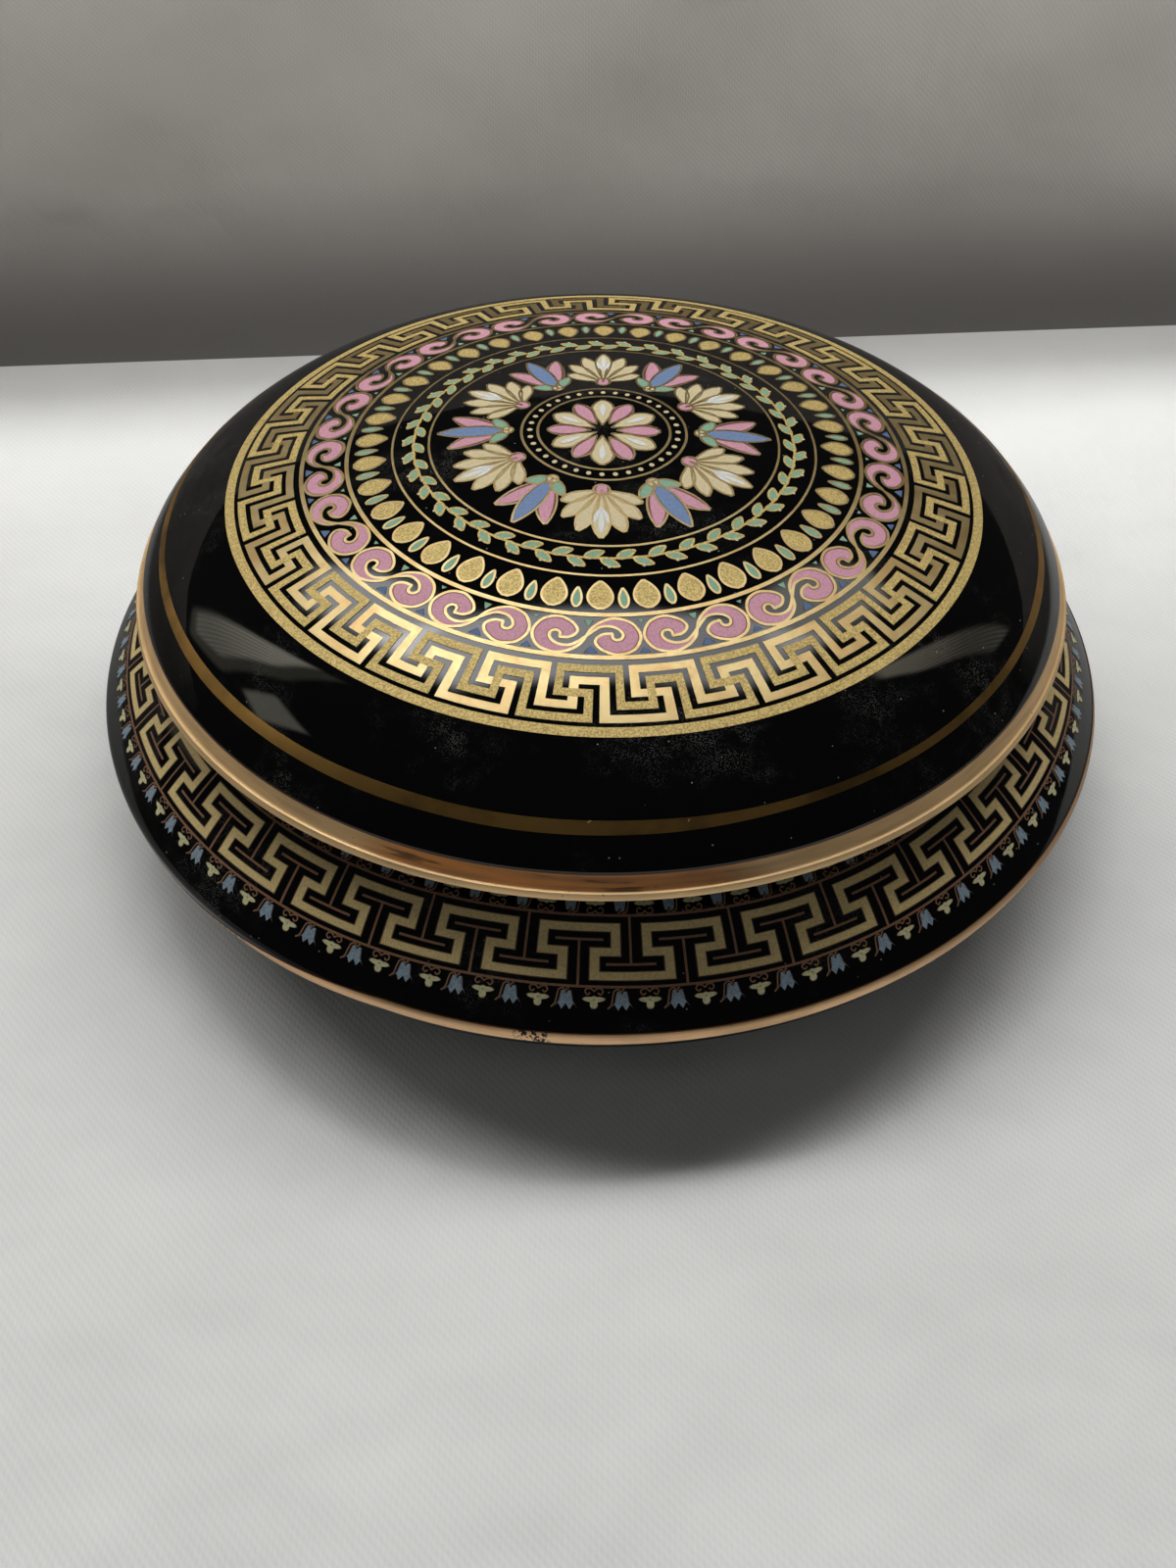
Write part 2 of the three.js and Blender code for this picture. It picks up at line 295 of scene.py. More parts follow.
# A material under construction
class Finish(Nodes):
    def __init__(self, name):
        self.material = bpy.data.materials.new(name)
        self.material.use_nodes = True
        self.material.node_tree.nodes.clear()
        super().__init__(self.material.node_tree, "ShaderNodeTexCoord", "Object")

    # noise with patches of the given size in millimetres, from 0 to 1
    def noise(self, size, detail, rough):
        sockets = {"Vector": self.place, "Scale": 1 / (size * mm), "Detail": detail, "Roughness": rough}
        return self.node("ShaderNodeTexNoise", {}, sockets)

    # round grains in cells of the given size in millimetres; reach is their radius as a share
    # of a cell
    def grains(self, size, reach):
        cells = {"Vector": self.place, "Scale": 1 / (size * mm)}
        return 1 - self.step(self.node("ShaderNodeTexVoronoi", {}, cells), reach * 0.5, reach)

    def bump(self, height, depth):
        sockets = {"Height": height, "Distance": depth * mm, "Strength": 1}
        return self.node("ShaderNodeBump", {}, sockets)

    def attribute(self, name):
        return self.node("ShaderNodeAttribute", {"attribute_name": name}, {}, output=2)

    # the three numbers of the place, in metres
    def axes(self):
        split = self.tree.nodes.new("ShaderNodeSeparateXYZ")
        self.tree.links.new(self.place.socket, split.inputs[0])
        return [Wire(self, socket) for socket in split.outputs]

    # how far the place is from the axis, in metres
    def fromAxis(self):
        x, y, z = self.axes()
        flatPlace = self.node("ShaderNodeCombineXYZ", {}, {0: x, 1: y})
        return self.node("ShaderNodeVectorMath", {"operation": "LENGTH"}, {0: flatPlace}, output=1)

    # a place that changes slowly round the axis and fast across it, for brush strokes;
    # round and across are the sizes of a stroke in millimetres
    def strokes(self, middleRadius, round, across):
        x, y, z = self.axes()
        radius = self.fromAxis()
        around = middleRadius / round
        acrossScale = 1 / (across * mm)
        sockets = {0: x / radius * around, 1: y / radius * around, 2: (z + radius) * acrossScale}
        return self.node("ShaderNodeCombineXYZ", {}, sockets)

    def surface(self, sockets):
        settings = {"distribution": "MULTI_GGX"}
        shader = self.node("ShaderNodeBsdfPrincipled", settings, sockets)
        output = self.tree.nodes.new("ShaderNodeOutputMaterial")
        self.tree.links.new(shader.socket, output.inputs["Surface"])
        return self.material


# Arcs of the box's profile. A row is radius, height and the way the surface faces; a
# direction is in degrees from straight up (0) through straight out (90) to down (180).
def arc(centre, radius, fromDirection, toDirection, count, hollow=False):
    turn = np.radians(np.linspace(fromDirection, toDirection, count))
    facing = np.stack([np.sin(turn), np.cos(turn)], axis=1)
    points = np.asarray(centre) + radius * facing
    return np.hstack([points, -facing if hollow else facing])


def pointing(direction):
    return np.array([math.sin(direction * deg), math.cos(direction * deg)])


def directionTo(start, end):
    return math.atan2(end[0] - start[0], end[1] - start[1]) / deg


def flat(radius, height, facing):
    return np.array([[radius, height, *pointing(facing)]])


# The same sizes as the CAD model's, in millimetres and degrees
bowlShape = {
    "edgeRadius": 70.1,
    "edgeRound": 2.3,
    "shoulderRound": 36.9,
    "shoulderTurn": 39.4,
    "bellyRound": 61,
    "bellyTurn": 50,
    "bellyLift": 1,
    "wall": 4.5,
    "innerRound": 3,
    "footRadius": 41,
    "footWidth": 4,
    "footRound": 0.8,
    "footRecess": 1.6,
    "neckRadius": 55.5,
    "neckWall": 3.9,
    "neckRise": 3.45,
    "neckFillet": 0.8,
    "rimRound": 0.6,
}
lidShape = {
    "wallOverhang": 5.45,
    "wallHeight": 3.13,
    "wallRound": 0.4,
    "wallTurn": 35.7,
    "shoulderRound": 22.43,
    "domeRound": 181.15,
    "wall": 4.5,
    "lipRound": 0.6,
    "lipProud": 1.4,
    "lipFillet": 1.9,
    "plate": 3.6,
    "flangeClearance": 0.8,
    "flangeWall": 3,
    "flangeDepth": 4,
}
segments = 288


# The outer crossing of two circles
def crossing(centreA, radiusA, centreB, radiusB):
    apart = centreB - centreA
    distance = np.hypot(*apart)
    along = (distance**2 + radiusA**2 - radiusB**2) / (2 * distance)
    aside = math.sqrt(radiusA**2 - along**2)
    unit = apart / distance
    square = np.array([unit[1], -unit[0]])
    return centreA + along * unit + aside * square * np.sign(square[0])


def bowlCurves():
    s = bowlShape
    belly = pointing(90 + s["bellyTurn"]) * (s["bellyRound"] - s["edgeRound"])
    shoulder = pointing(90 - s["shoulderTurn"]) * (s["edgeRound"] - s["shoulderRound"])
    inset = s["edgeRadius"] - s["edgeRound"]
    bellyCentre = np.array([inset - belly[0], s["bellyLift"] + s["bellyRound"]])
    edgeCentre = bellyCentre + belly
    shoulderCentre = edgeCentre + shoulder
    neckRun = s["neckRadius"] - shoulderCentre[0]
    seat = shoulderCentre[1] + math.sqrt(s["shoulderRound"] ** 2 - neckRun**2) + s["neckRise"]
    return bellyCentre, edgeCentre, shoulderCentre, seat


bellyCentre, edgeCentre, bowlShoulderCentre, seat = bowlCurves()
mouthRadius = bowlShape["neckRadius"] - bowlShape["neckWall"]


def bowlProfile():
    s = bowlShape
    inner = s["footRadius"] - s["footWidth"]
    foot = s["footRound"]
    footDirection = 180 - math.asin((s["footRadius"] - bellyCentre[0]) / s["bellyRound"]) / deg
    filletRun = s["neckRadius"] + s["neckFillet"] - bowlShoulderCentre[0]
    filletReach = s["shoulderRound"] + s["neckFillet"]
    filletRise = math.sqrt(filletReach**2 - filletRun**2)
    filletCentre = bowlShoulderCentre + [filletRun, filletRise]
    neckDirection = directionTo(bowlShoulderCentre, filletCentre)
    rim = s["rimRound"]
    insideShoulder = s["shoulderRound"] - s["wall"]
    insideBelly = s["bellyRound"] - s["wall"]
    roundCentre = crossing(
        bellyCentre,
        insideBelly - s["innerRound"],
        bowlShoulderCentre,
        insideShoulder - s["innerRound"],
    )
    fromShoulder = directionTo(bowlShoulderCentre, roundCentre)
    fromBelly = directionTo(bellyCentre, roundCentre)
    mouth = math.asin((mouthRadius - bowlShoulderCentre[0]) / insideShoulder) / deg
    belly = 90 + s["bellyTurn"]
    shoulder = 90 - s["shoulderTurn"]
    return np.vstack([
        flat(0, s["footRecess"], 180),
        flat(inner * 0.5, s["footRecess"], 180),
        flat(inner, s["footRecess"], 180),
        arc((inner + foot, foot), foot, 270, 180, 8),
        arc((s["footRadius"] - foot, foot), foot, 180, 90, 8),
        arc(bellyCentre, s["bellyRound"], footDirection, belly, 36),
        arc(edgeCentre, s["edgeRound"], belly, shoulder, 24)[1:],
        arc(bowlShoulderCentre, s["shoulderRound"], shoulder, neckDirection, 36)[1:],
        arc(filletCentre, s["neckFillet"], neckDirection + 180, 270, 8, True)[1:],
        arc((s["neckRadius"] - rim, seat - rim), rim, 90, 0, 8),
        arc((mouthRadius + rim, seat - rim), rim, 0, -90, 8),
        arc(bowlShoulderCentre, insideShoulder, mouth, fromShoulder, 30, True),
        arc(roundCentre, s["innerRound"], fromShoulder, fromBelly, 16, True)[1:],
        arc(bellyCentre, insideBelly, fromBelly, 180, 40, True)[1:],
        flat(0, s["bellyLift"] + s["wall"], 0),
    ])


def lidCurves():
    s = lidShape
    wallRadius = bowlShape["neckRadius"] + s["wallOverhang"]
    roundCentre = np.array([wallRadius - s["wallRound"], seat + s["wallHeight"]])
    reach = pointing(90 - s["wallTurn"]) * (s["wallRound"] - s["shoulderRound"])
    shoulderCentre = roundCentre + reach
    drop = math.sqrt((s["domeRound"] - s["shoulderRound"]) ** 2 - shoulderCentre[0] ** 2)
    domeCentre = np.array([0, shoulderCentre[1] - drop])
    beadCentre = np.array([wallRadius + s["lipProud"] - s["lipRound"], seat + s["lipRound"]])
    filletRun = s["lipFillet"] - (beadCentre[0] - wallRadius)
    filletRise = math.sqrt((s["lipRound"] + s["lipFillet"]) ** 2 - filletRun**2)
    return roundCentre, shoulderCentre, domeCentre, beadCentre, beadCentre + [filletRun, filletRise]


wallRoundCentre, lidShoulderCentre, domeCentre, beadCentre, lipFilletCentre = lidCurves()
domeDirection = directionTo(domeCentre, lidShoulderCentre)
beadTop = directionTo(beadCentre, lipFilletCentre)


# The lid's outside from the middle of the dome to the foot of its wall
def lidOutside(count):
    s = lidShape
    wall = 90 - s["wallTurn"]
    return np.vstack([
        arc(domeCentre, s["domeRound"], 0, domeDirection, count),
        arc(lidShoulderCentre, s["shoulderRound"], domeDirection, wall, count)[1:],
        arc(wallRoundCentre, s["wallRound"], wall, 90, count // 3)[1:],
    ])


# The lip from the foot of the wall over the hollow and the bead
def lipOutside(count, lowest):
    s = lidShape
    return np.vstack([
        arc(lipFilletCentre, s["lipFillet"], 270, 180 + beadTop, count, True),
        arc(beadCentre, s["lipRound"], beadTop, lowest, count)[1:],
    ])


def lidProfile():
    s = lidShape
    outer = mouthRadius - s["flangeClearance"]
    inner = outer - s["flangeWall"]
    bottom = seat - s["flangeDepth"]
    plateTop = seat + s["plate"]
    insideShoulder = s["shoulderRound"] - s["wall"]
    atPlate = math.acos((plateTop - lidShoulderCentre[1]) / insideShoulder) / deg
    rim = bowlShape["rimRound"]
    return np.vstack([
        arc(domeCentre, s["domeRound"] - s["wall"], 0, domeDirection, 24, True),
        arc(lidShoulderCentre, insideShoulder, domeDirection, atPlate, 24, True)[1:],
        flat(inner, plateTop, 0),
        arc((inner + rim, bottom + rim), rim, 270, 180, 8),
        arc((outer - rim, bottom + rim), rim, 180, 90, 8),
        flat(outer, seat, 90),
        lipOutside(14, 180)[::-1],
        lidOutside(44)[::-1],
    ])


# The printed borders were laid on by hand. Round the box, in degrees from the front to the
# right, a border is turned by so many degrees and lies so many millimetres further out.
drift = {
    "lid": [
        (-100, -1.9, -0.1), (-80, -1.9, -0.2), (-60, -1.45, -0.38), (-45, -0.8, -0.4),
        (-30, -0.3, -0.33), (-15, -0.08, -0.14), (0, 0, 0.05), (12, 0, 0.13), (35, 0.05, 0.12),
        (55, 0.35, 0.12), (80, 0.75, 0.22), (100, 0.8, 0.2), (180, 0, 0),
    ],
    "bowl": [
        (-90, -1.1, 0.3), (-65, -1.1, 0.35), (-50, -1.0, 0.42), (-40, -0.5, 0.38),
        (-30, 0, 0.35), (-20, 0.1, 0.23), (-10, 0.1, 0.1), (0, 0.14, 0.2), (10, 0.2, 0.46),
        (20, 0.32, 0.56), (30, 0.62, 0.38), (40, 0.85, 0.08), (50, 0.95, -0.08),
        (60, 1.25, -0.12), (75, 1.5, 0), (180, 0.2, 0.1),
    ],
}


# A surface to lay ornament on: rows of distance along the profile, radius, height and facing,
# and how ornament slips on it. The distance is the radius itself, or is measured along the
# glaze from a first radius; 0 stands for the first row.
def layingTable(rows, firstRadius=None, slips=None):
    if firstRadius is None:
        along = rows[:, 0]
    else:
        steps = np.hypot(np.diff(rows[:, 0]), np.diff(rows[:, 1]))
        along = np.concatenate([[0], np.cumsum(steps)])
        if firstRadius:
            along = along - np.interp(firstRadius, rows[:, 0], along)
    return np.column_stack([along, rows]), slips and np.array(slips)


# The point at an angle round the axis and a distance along the profile, raised off the glaze.
# Angle 0 faces the camera and grows to the right.
def lay(surface, angle, along, height):
    table, slips = surface
    if slips is not None:
        turn, outward = (np.interp(angle / deg, slips[:, 0], slips[:, k], period=360) for k in (1, 2))
        angle = angle + turn * deg
        along = along + outward
    radius, level, facingOut, facingUp = (np.interp(along, table[:, 0], row) for row in table.T[1:])
    radius = radius + height * facingOut
    level = level + height * facingUp
    x = radius * np.sin(angle)
    y = -radius * np.cos(angle)
    return np.stack(np.broadcast_arrays(x, y, level), axis=-1) * mm


fineCount = 1200
shoulderEnd = 90 - bowlShape["shoulderTurn"]
bowlShoulder = arc(bowlShoulderCentre, bowlShape["shoulderRound"], 22, shoulderEnd, fineCount)
onBowl = layingTable(bowlShoulder, 56, drift["bowl"])
onLid = layingTable(lidOutside(fineCount), slips=drift["lid"])
onShoulder = layingTable(lidOutside(fineCount))
roundTheBox = np.linspace(0, fullTurn, segments, endpoint=False)
sunk = 0.03


# Meshes are gathered here as arrays, and made into one piece at the end
class Gathered:
    sharpAngle = 35

    def __init__(self):
        self.points = []
        self.across = []
        self.faces = []
        self.smooth = []
        self.count = 0

    def add(self, points, across, faces, smooth):
        self.faces += [(block + self.count, flag) for block, flag in zip(faces, smooth)]
        self.points.append(points.reshape(-1, 3))
        self.across.append(np.broadcast_to(across, points.shape[:-1]).reshape(-1))
        self.count += self.points[-1].shape[0]

    # Slabs from the places of their tops and feet, both copies by steps by section. Upright
    # sides join the rim of the top to the rim of the foot.
    def addSlabs(self, top, foot, closed):
        copies, steps, section = top.shape[:3]
        number = np.arange(copies * steps * section).reshape(copies, steps, section)
        ahead = np.roll(number, -1, axis=1) if closed else number[:, 1:]
        here = number[:, : ahead.shape[1]]
        quads = [here[:, :, :-1], here[:, :, 1:], ahead[:, :, 1:], ahead[:, :, :-1]]
        blocks = [np.stack(quads, axis=-1).reshape(-1, 4)]
        if closed:
            rims = [number[:, ::-1, 0], number[:, :, -1]]
        else:
            rims = [np.concatenate([
                number[:, 0, :], number[:, 1:, -1], number[:, -1, -2::-1], number[:, -2:0:-1, 0],
            ], axis=1)]
        feet = foot.reshape(-1, 3)
        points = [top.reshape(-1, 3)]
        share = np.broadcast_to(np.linspace(0, 1, section), number.shape).reshape(-1)
        across = [share]
        lower = []
        count = number.size
        for rim in rims:
            below = np.arange(rim.size).reshape(rim.shape) + count
            count += rim.size
            points.append(feet[rim.reshape(-1)])
            across.append(share[rim.reshape(-1)])
            nextRim, nextBelow = np.roll(rim, -1, 1), np.roll(below, -1, 1)
            blocks.append(np.stack([rim, below, nextBelow, nextRim], -1).reshape(-1, 4))
            lower.append(below)
        if closed:
            left, right = lower[0][:, ::-1], lower[1]
            nextLeft, nextRight = np.roll(left, -1, 1), np.roll(right, -1, 1)
            blocks.append(np.stack([left, nextLeft, nextRight, right], -1).reshape(-1, 4))
        else:
            blocks.append(lower[0][:, ::-1])
        flags = [True] + [False] * (len(blocks) - 1)
        self.add(np.concatenate(points), np.concatenate(across), blocks, flags)

    # A profile turned round the axis, starting and ending on it or closing on itself
    def addTurned(self, rows, closed=False):
        rings = rows[rows[:, 0] > 1e-9]
        radius = rings[:, :1]
        height = np.broadcast_to(rings[:, 1:2], (len(rings), segments))
        x = radius * np.sin(roundTheBox)
        points = np.stack([x, -radius * np.cos(roundTheBox), height], -1) * mm
        number = np.arange(len(rings) * segments).reshape(len(rings), segments)
        ahead = np.roll(number, -1, 0) if closed else number[1:]
        here = number[: len(ahead)]
        quads = np.stack([here, np.roll(here, -1, 1), np.roll(ahead, -1, 1), ahead], -1)
        points = points.reshape(-1, 3)
        blocks = [quads.reshape(-1, 4)]
        if not closed:
            last = number.size
            poles = np.array([[0, 0, rows[0, 1]], [0, 0, rows[-1, 1]]]) * mm
            points = np.vstack([points, poles])
            low, high = number[0], number[-1]
            blocks.append(np.stack([np.full(segments, last), np.roll(low, -1), low], -1))
            blocks.append(np.stack([np.full(segments, last + 1), high, np.roll(high, -1)], -1))
        self.add(points, 0.5, blocks, [True] * len(blocks))

    def make(self, name, body, slotName, material, replaced=()):
        mesh = bpy.data.meshes.new(name)
        points = np.concatenate(self.points)
        sizes = np.concatenate([np.full(len(f), f.shape[1]) for f, _ in self.faces])
        loops = np.concatenate([f.reshape(-1) for f, _ in self.faces])
        smooth = np.concatenate([np.full(len(f), flag) for f, flag in self.faces])
        mesh.vertices.add(len(points))
        mesh.vertices.foreach_set("co", points.astype(np.float32).reshape(-1))
        mesh.loops.add(len(loops))
        mesh.loops.foreach_set("vertex_index", loops.astype(np.int32))
        mesh.polygons.add(len(sizes))
        starts = np.concatenate([[0], np.cumsum(sizes)[:-1]])
        mesh.polygons.foreach_set("loop_start", starts.astype(np.int32))
        mesh.polygons.foreach_set("use_smooth", smooth)
        mesh.update(calc_edges=True)
        mesh.validate()
        across = mesh.attributes.new("across", "FLOAT", "POINT")
        across.data.foreach_set("value", np.concatenate(self.across).astype(np.float32))
        mesh.set_sharp_from_angle(angle=self.sharpAngle * deg)
        mesh.materials.append(material)
        piece = bpy.data.objects.new(name, mesh)
        bpy.context.scene.collection.objects.link(piece)
        if body == "lid":
            lidPieces.objects.link(piece)
        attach(piece, body)
        if replaced:
            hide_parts(*replaced)
        print("made", name, len(sizes), "faces")
        return piece


# The two edges of a ribbon of the given half width along a path, with mitred corners. half
# may be a pair, sideways and along. A closed path names the step from its end to its start.
def ribbonEdges(path, half, wrap=None):
    path = np.asarray(path, float)
    ahead = np.roll(path, -1, 0) - path
    behind = path - np.roll(path, 1, 0)
    if wrap is None:
        ahead[-1] = behind[-1]
        behind[0] = ahead[0]
    else:
        ahead[-1] += wrap
        behind[0] += wrap
    ahead /= np.linalg.norm(ahead, axis=1, keepdims=True)
    behind /= np.linalg.norm(behind, axis=1, keepdims=True)
    leftAhead = np.column_stack([ahead[:, 1], -ahead[:, 0]])
    leftBehind = np.column_stack([behind[:, 1], -behind[:, 0]])
    bend = 1 + np.sum(leftAhead * leftBehind, axis=1, keepdims=True)
    mitre = (leftAhead + leftBehind) / bend * np.asarray(half)
    return path + mitre, path - mitre


# Rows across from one edge to the other: a grid of steps by count places
def ruled(left, right, count=2):
    share = np.linspace(0, 1, count)[:, None]
    return left[..., None, :] * (1 - share) + right[..., None, :] * share


# A grid of (angle, along) places made into slabs whose upright sides go into the glaze
def slabOn(gathered, surface, grid, height, closed=False):
    if grid.ndim == 3:
        grid = grid[None]
    angle, along = grid[..., 0], grid[..., 1]
    top = lay(surface, angle, along, height)
    foot = lay(surface, angle, along, -sunk)
    gathered.addSlabs(top, foot, closed)


# A band right round the box between two distances along the profile
def bandOn(gathered, surface, fromAlong, toAlong, height, count=3):
    left = np.column_stack([roundTheBox, np.broadcast_to(fromAlong, segments)])
    right = np.column_stack([roundTheBox, np.broadcast_to(toAlong, segments)])
    slabOn(gathered, surface, ruled(left, right, count), height, closed=True)


# Local millimetres (x to the right, y outward) about points round the box, as (angle, along)
def around(local, angles, radius, along):
    angles = np.asarray(angles)
    places = angles.reshape(-1, *([1] * (local.ndim - 1)))
    x = local[..., 0] / radius + places
    y = np.broadcast_to(local[..., 1] + along, x.shape)
    return np.stack([x, y], axis=-1)


# A smooth curve through knots: the Catmull-Rom cubic, with so many points to a knot
def smoothCurve(knots, perKnot, closed=False):
    knots = np.asarray(knots, float)
    if closed:
        padded = np.vstack([knots[-1:], knots, knots[:2]])
    else:
        first = 2 * knots[:1] - knots[1:2]
        last = 2 * knots[-1:] - knots[-2:-1]
        padded = np.vstack([first, knots, last])
    a, b, c, d = padded[:-3], padded[1:-2], padded[2:-1], padded[3:]
    t = (np.arange(perKnot) / perKnot)[:, None, None]
    curve = 0.5 * (
        2 * b + (c - a) * t + (2 * a - 5 * b + 4 * c - d) * t**2 + (3 * b - a - 3 * c + d) * t**3
    )
    curve = curve.transpose(1, 0, 2).reshape(-1, 2)
    return curve if closed else np.vstack([curve, knots[-1:]])


# Corners joined by straight runs with a point at every unit
def unitSteps(corners):
    corners = np.asarray(corners, float)
    runs = []
    for start, end in zip(corners[:-1], corners[1:]):
        count = int(round(np.abs(end - start).max()))
        share = np.arange(count)[:, None] / count
        runs.append(start + (end - start) * share)
    return np.vstack(runs)


# Finishes. Colours are linear.
glazeLook = {
    "black": (0.0013, 0.0013, 0.0014),
    "dust": (0.26, 0.255, 0.24),
    "clay": (0.56, 0.47, 0.35),
    "roughness": 0.035,
    "footBare": 0.35,
    "footRing": (30, 50),
    "seatBare": 0.12,
    "seatRing": (51, 56),
}


# Glossy black glaze with fine dust and faint wiping marks. Where it stands and where the lid
# rests the glaze is wiped off and pale clay shows.
def makeBlackGlaze(name, bareFrom, bareTo, bareRing):
    f = Finish(name)
    x, y, z = f.axes()
    grain = f.noise(0.5, 3, 0.6)
    edge = (grain - 0.5) * (0.5 * mm)
    level = z + edge
    ring = f.fromAxis() + edge
    bare = (level > bareFrom * mm) * (level < bareTo * mm)
    bare = bare * (ring > bareRing[0] * mm) * (ring < bareRing[1] * mm)
    haze = f.step(f.noise(15, 4, 0.6), 0.5, 0.7) * f.step(f.noise(2.2, 3, 0.6), 0.35, 0.6)
    dust = haze * f.grains(0.19, 0.5) * 0.22 + f.grains(2.1, 0.055) * 0.9
    wiped = f.noise(9, 4, 0.65)
    roughness = glazeLook["roughness"] + f.step(wiped, 0.45, 0.8) * 0.06 + dust * 0.5
    glaze = f.blend(dust, glazeLook["black"], glazeLook["dust"])
    clayTone = f.noise(1.1, 4, 0.7)
    clay = f.blend(clayTone, glazeLook["clay"], tuple(0.72 * c for c in glazeLook["clay"]))
    relief = f.noise(7, 2, 0.4) * 0.6 + grain * bare * 0.5
    return f.surface({
        "Base Color": f.blend(bare, glaze, clay),
        "Roughness": roughness * (1 - bare) + bare * 0.85,
        "Normal": f.bump(relief, 0.012),
    })


goldLook = {
    "matt": (0.85, 0.65, 0.25),
    "mattDark": (0.37, 0.25, 0.09),
    "bright": (0.98, 0.77, 0.39),
    "brightDeep": (0.86, 0.58, 0.25),
    "peach": (0.84, 0.55, 0.31),
    "olive": (0.88, 0.52, 0.16),
    "copper": (0.55, 0.25, 0.11),
    "orange": (1.0, 0.40, 0.11),
    "umber": (0.20, 0.08, 0.035),
    "lip": (1.0, 0.69, 0.35),
    "thin": (0.24, 0.15, 0.06),
}


# Printed matt gold: grains that lie at all angles
def makeMattGold():
    f = Finish("mattGold")
    grain = f.noise(0.24, 3, 0.7)
    worn = f.noise(6, 3, 0.6)
    dark = f.step(grain, 0.42, 0.6) * 0.75 + f.step(worn, 0.55, 0.8) * 0.2
    return f.surface({
        "Base Color": f.blend(dark, goldLook["matt"], goldLook["mattDark"]),
        "Metallic": 0.4,
        "Roughness": 0.36 + grain * 0.3,
        "Normal": f.bump(grain, 0.04),
    })


# Printed gold that was burnished: smooth, with faint strokes
def makeBrightGold():
    f = Finish("brightGold")
    grain = f.noise(0.22, 3, 0.6)
    patch = f.noise(4, 3, 0.6)
    return f.surface({
        "Base Color": f.blend(f.step(patch, 0.35, 0.75), goldLook["bright"], goldLook["brightDeep"]),
        "Metallic": 1,
        "Roughness": 0.36 + f.step(grain, 0.4, 0.75) * 0.16,
        "Normal": f.bump(grain, 0.015),
    })


# Gold painted by hand: strokes that run round the box, thin places and small pits. In a
# hollow, over the given share of its width, it has a faint coppery tint, and at the front it is
# painted with an orange and coppery reflection with dark streaks. The first share of its width
# may be a dark line, and near some distances to the right it is worn.
def makePaintedGold(name, colour, middleRadius, thinShare, hollow=None, darkLine=None, worn=()):
    f = Finish(name)
    strokes = f.strokes(middleRadius, 9, 0.35)
    stroke = f.node("ShaderNodeTexNoise", {}, {"Vector": strokes, "Scale": 1, "Detail": 4})
    broad = f.node("ShaderNodeTexNoise", {}, {"Vector": strokes, "Scale": 0.3, "Detail": 3})
    thin = f.step(f.noise(12, 3, 0.6), 0.45, 0.7) * f.step(stroke, 0.3, 0.6) * thinShare
    pit = f.step(f.noise(0.5, 1, 0.5), 0.74, 0.79)
    tone = f.blend(thin, colour, goldLook["thin"])
    roughness = 0.3 + broad * 0.2
    x, y, z = f.axes()
    across = f.attribute("across")
    if hollow:
        inHollow = 1 - f.step(across, hollow - 0.02, hollow + 0.02)
        # painted reflection: the front of the hollow is coloured orange and copper with dark umber
        # streaks
        paintedReflectionFront = f.step(x * -0.07 - y, 0.93 * middleRadius * mm, 0.975 * middleRadius * mm)
        deep = f.blend(f.step(broad, 0.42, 0.6), goldLook["orange"], goldLook["copper"])
        deep = f.blend(f.step(stroke, 0.58, 0.68), deep, goldLook["umber"])
        # the painted reflection fills the front of the hollow; the rest of the hollow gets only a faint
        # coppery tint
        tone = f.blend(inHollow * (paintedReflectionFront * 0.85 + 0.1), tone, deep)
        roughness = roughness + (1 - inHollow) * 0.05
    shade = f.step(stroke, 0.3, 0.75) * 0.25 + pit * 0.6
    tone = f.blend(shade, tone, (0.33, 0.18, 0.08))
    if darkLine:
        ragged = across + (broad - 0.5) * (darkLine * 0.8)
        tone = f.blend(1 - f.step(ragged, darkLine * 0.7, darkLine), tone, goldLook["umber"])
    for middle, half in worn:
        near = 1 - f.step(f.absolute(x - middle * mm), half * 0.5 * mm, half * mm)
        gone = near * f.step(f.noise(0.7, 3, 0.7), 0.5, 0.53)
        tone = f.blend(gone, tone, glazeLook["black"])
        pit = pit + gone
    return f.surface({
        "Base Color": tone,
        "Metallic": (1 - pit * 0.6) * (0.5 if hollow else 1),
        "Roughness": roughness,
        "Normal": f.bump(stroke + pit * -0.5, 0.01),
    })


# Printed enamel: a fine grain of dots, and a darker line along both sides of a shape
def makeEnamel(name, colour, edgeColour, edgeShare, grainShare):
    f = Finish(name)
    grain = f.noise(0.26, 3, 0.65)
    across = f.attribute("across")
    fromEdge = 0.5 - f.absolute(across - 0.5)
    ragged = fromEdge + (grain - 0.5) * 0.12
    edge = 1 - f.step(ragged, edgeShare * 0.5, edgeShare)
    deep = tuple(0.55 * c for c in colour)
    body = f.blend(f.step(grain, 0.42, 0.62) * grainShare, colour, deep)
    return f.surface({
        "Base Color": f.blend(edge, body, edgeColour),
        "Roughness": 0.42 + grain * 0.15,
        "Specular IOR Level": 0.35,
        "Normal": f.bump(grain, 0.01),
    })


blackBowl = makeBlackGlaze("blackGlazeBowl", -1, glazeLook["footBare"], glazeLook["footRing"])
seatTop = seat + glazeLook["seatBare"]
blackLid = makeBlackGlaze("blackGlazeLid", seat - 1, seatTop, glazeLook["seatRing"])
mattGold = makeMattGold()
brightGold = makeBrightGold()
lineGold = makePaintedGold("paintedGoldLine", goldLook["olive"], 58, 0.8)
lipGold = makePaintedGold("paintedGoldLip", goldLook["lip"], 61, 0.2, hollow=0.6, darkLine=0.06)
edgeGold = makePaintedGold(
    "paintedGoldEdge", goldLook["peach"], 70, 0.3, darkLine=0.13, worn=[(-46, 6), (-7, 2.5)]
)
maroon = (0.13, 0.035, 0.04)
umber = (0.055, 0.03, 0.018)

